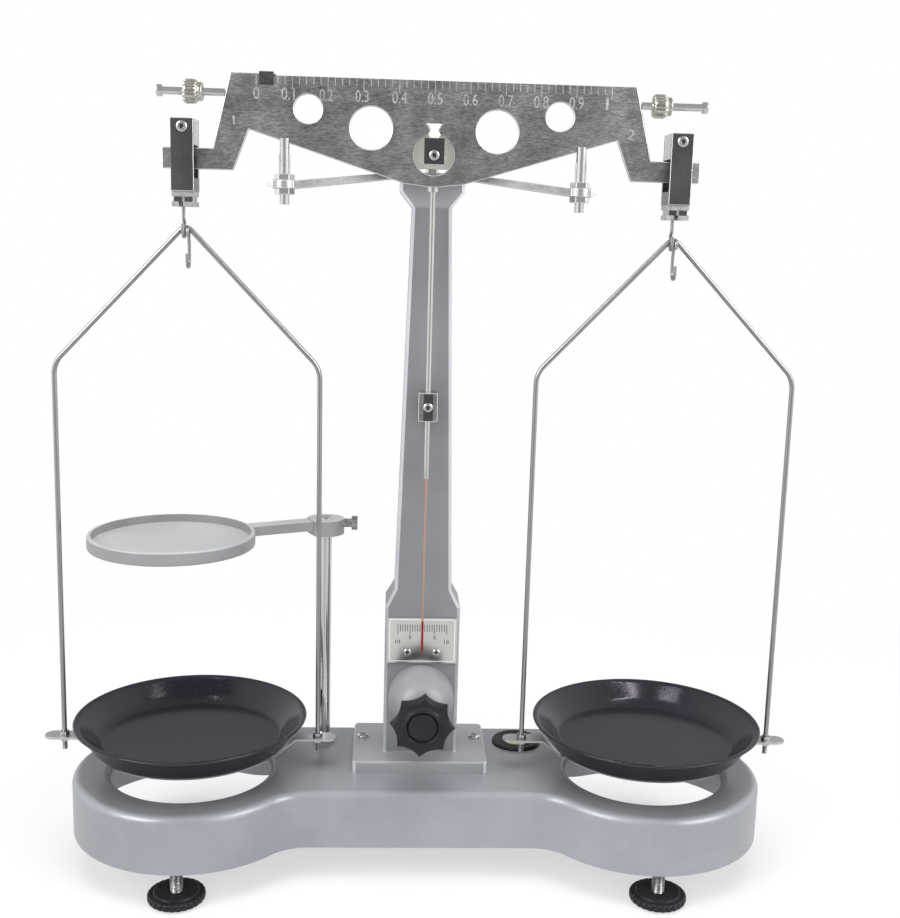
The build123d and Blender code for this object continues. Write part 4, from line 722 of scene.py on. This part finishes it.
# Pointer: a steel rod under the beam that thins to a copper-toned needle with a red tip.
# A small bob with a dark groove and a clamp screw slides on it to set how the beam swings.
def banded(material, *bands):
    """Below each height in mm, the material takes the colour that is given with it."""
    tree = material.node_tree
    colour_in = tree.nodes["Principled BSDF"].inputs["Base Color"]
    place = put(tree, "ShaderNodeTexCoord")
    height = put(tree, "ShaderNodeSeparateXYZ", {"Vector": (place, "Object")})
    for top, colour in bands:
        below = put(tree, "ShaderNodeMath", {0: (height, "Z"), 1: top * MM},
                    operation="LESS_THAN")
        band = put(tree, "ShaderNodeMix", {0: (below, "Value"), COLOUR_B: (*colour, 1)},
                   data_type="RGBA")
        tree.links.new(colour_in.links[0].from_socket, band.inputs[COLOUR_A])
        tree.links.new(band.outputs[COLOUR_OUT], colour_in)


pointer_metal = metal("pointer_metal", (0.6, 0.6, 0.59), (0.68, 0.68, 0.67), rough=(0.1, 0.18),
                      stretch=(60, 60, 30))
banded(pointer_metal, (255.2, (0.62, 0.42, 0.34)), (160, (0.6, 0.02, 0.03)))
wear(pointer_metal, "pointer")
bob_metal = metal("bob_metal", (0.3, 0.3, 0.31), (0.4, 0.4, 0.41), rough=(0.3, 0.45),
                  stretch=(400, 400, 400), bump=0.2)
softened("sensitivity_bob", 0.5, bob_metal, "bob", painted_edge_highlight)
# Painted shade: the groove is a flat dark mark on the bob's front face.
marking("bob_groove", [(0.2, 292.9, 309.9, 6.0)], [], front=-4.53, material=dark_plate,
        body="bob")
screws("bob_clamp_screw", [(0, -4.5, 301.5)], 3.1, -1.2, "y", "bob", "bob_screw")

# Stirrups: two dark plates screwed on a light block, with an agate that rests on the end knife,
# and a stepped foot below that holds the hook. Each hangs from one end of the beam.
stirrup_plate = paint("stirrup_plate", (0.05, 0.05, 0.05), (0.085, 0.085, 0.085), flake=2500,
                      mottle=50, metallic=0.4, bump=0.1, coat=0.05)
light_block = metal("light_block", (0.84, 0.84, 0.82), (0.94, 0.94, 0.92), rough=(0.35, 0.5),
                    stretch=(300, 300, 300), bump=0.1)
# Painted shade: below 452 mm, under the beam's arm, the block is painted a darker grey.
banded(light_block, (452, (0.34, 0.33, 0.36)))
stirrup_foot = metal("stirrup_foot", (0.62, 0.62, 0.62), (0.78, 0.78, 0.78), rough=(0.3, 0.45),
                     stretch=(400, 400, 400), bump=0.2)
for hand, x in SIDES:
    softened(hand + "_stirrup_plates", 0.35, stirrup_plate, hand + "_stirrup", painted_edge_highlight)
    softened(hand + "_stirrup_block", 0.3, light_block, hand + "_stirrup")
    softened(hand + "_stirrup_foot", 0.25, stirrup_foot, hand + "_stirrup")
    # Painted shade: the foot's two slots are flat dark marks on its front face.
    marking(hand + "_stirrup_foot_slots",
            [(x - 3.1, 423.8, 426.6, 4.4), (x + 3.1, 423.8, 426.6, 4.4)],
            [], front=-9.03, material=stirrup_plate, body=hand + "_stirrup")
    screws(hand + "_stirrup_front_screw", [(x, -11, 467.6)], 3.4, -1.1, "y", hand + "_stirrup",
           hand + "_stirrup_screws")
    screws(hand + "_stirrup_back_screw", [(x, 11, 467.6)], 3.4, 1.1, "y", hand + "_stirrup")


# Hooks and bails: bright drawn wire. A bail is one wire bent at the top and at two shoulders,
# with its ends threaded and clamped in the tabs of the pan carrier by two nuts each.
def wire(path, radius, side):
    """A round wire along a path in a plane: each ring is p + r (n cos t + s sin t), where s is the
    plane's own normal and n the direction across the path. Its ends are closed."""
    segments = 20
    path = np.asarray(path, float)
    run = np.gradient(path, axis=0)
    run /= np.linalg.norm(run, axis=1, keepdims=True)
    side = np.array(side, float)
    across = np.cross(run, side)
    across /= np.linalg.norm(across, axis=1, keepdims=True)
    t = np.linspace(0, 2 * pi, segments, endpoint=False)[None, :, None]
    rings = path[:, None] + radius * (across[:, None] * np.cos(t) + side * np.sin(t))
    ends = [np.repeat(path[at][None, None], segments, 1) for at in (0, -1)]
    return np.concatenate([ends[0], rings, ends[1]]), True, False


wire_steel = metal("drawn_wire", (0.38, 0.38, 0.385), (0.42, 0.42, 0.425), rough=(0.26, 0.32),
                   stretch=(60, 60, 30))
carrier_metal = metal("pan_carrier_strip", (0.62, 0.62, 0.63), (0.74, 0.74, 0.75),
                      rough=(0.32, 0.44), stretch=(200, 200, 200), bump=0.08)
shoulder, stud = 82.0, 82.5  # from the bail's middle, in mm
for hand, x in SIDES:
    bail_path = eased([
        (x - stud, 0, 82.0, 0), (x - shoulder, 0, 324.0, 7.0), (x, 0, 410.5, 6.0),
        (x + shoulder, 0, 324.0, 7.0), (x + stud, 0, 82.0, 0)], 15)
    threads = [threaded(radius=1.65, depth=0.28, pitch=0.7, low=70.7, high=84.5,
                        centre=(end, 0, 0), segments=16) for end in (x - stud, x + stud)]
    bent = wire(bail_path, radius=1.6, side=(0, 1, 0))
    solid(hand + "_bail_wire", [bent, *threads],
          wire_steel, hand + "_hanger", hand + "_bail", crease=50)
    softened(hand + "_bail_nuts", 0.25, screw_metal, hand + "_hanger")
    softened(hand + "_pan_carrier", 0.3, carrier_metal, hand + "_hanger")
    wear(wire_steel, hand + "_stirrup_hook", hand + "_specimen_hook")

# Pans: round dishes of plastic or enamelled metal, dark blue-violet and smooth, with a soft lip.
# Each has a foot ring below, which stands on the carrier's strip.
pan_gloss = paint("pan_gloss", (0.009, 0.008, 0.012), (0.015, 0.0135, 0.02), flake=600, mottle=12,
                  rough=(0.15, 0.18))
shader = pan_gloss.node_tree.nodes["Principled BSDF"]
shader.inputs["Specular Tint"].default_value = (0.93, 0.87, 1.0, 1)
pan_profile = eased([
    (0, 80.5, 0), (57.0, 80.5, 1.5), (61.6, 84.0, 2.0), (71.3, 93.9, 1.4), (74.0, 94.7, 0.9),
    (75.0, 93.6, 0.5), (74.0, 92.9, 0.4), (68.6, 87.0, 3.5), (63.6, 79.6, 3.0), (60.0, 76.5, 0.8),
    (58.0, 76.5, 0.3), (58.0, 78.5, 0.2), (43.0, 78.5, 0.3), (43.0, 69.5, 0.4), (40.0, 69.5, 0.4),
    (40.0, 78.5, 0.3), (0, 78.5, 0)])
for hand, x in SIDES:
    pan = solid(hand + "_spun_pan", [turned(pan_profile, (x, 0, 0), "z", 160)], pan_gloss,
                hand + "_pan_unit", hand + "_pan", crease=40)
    streaked.objects.link(pan)
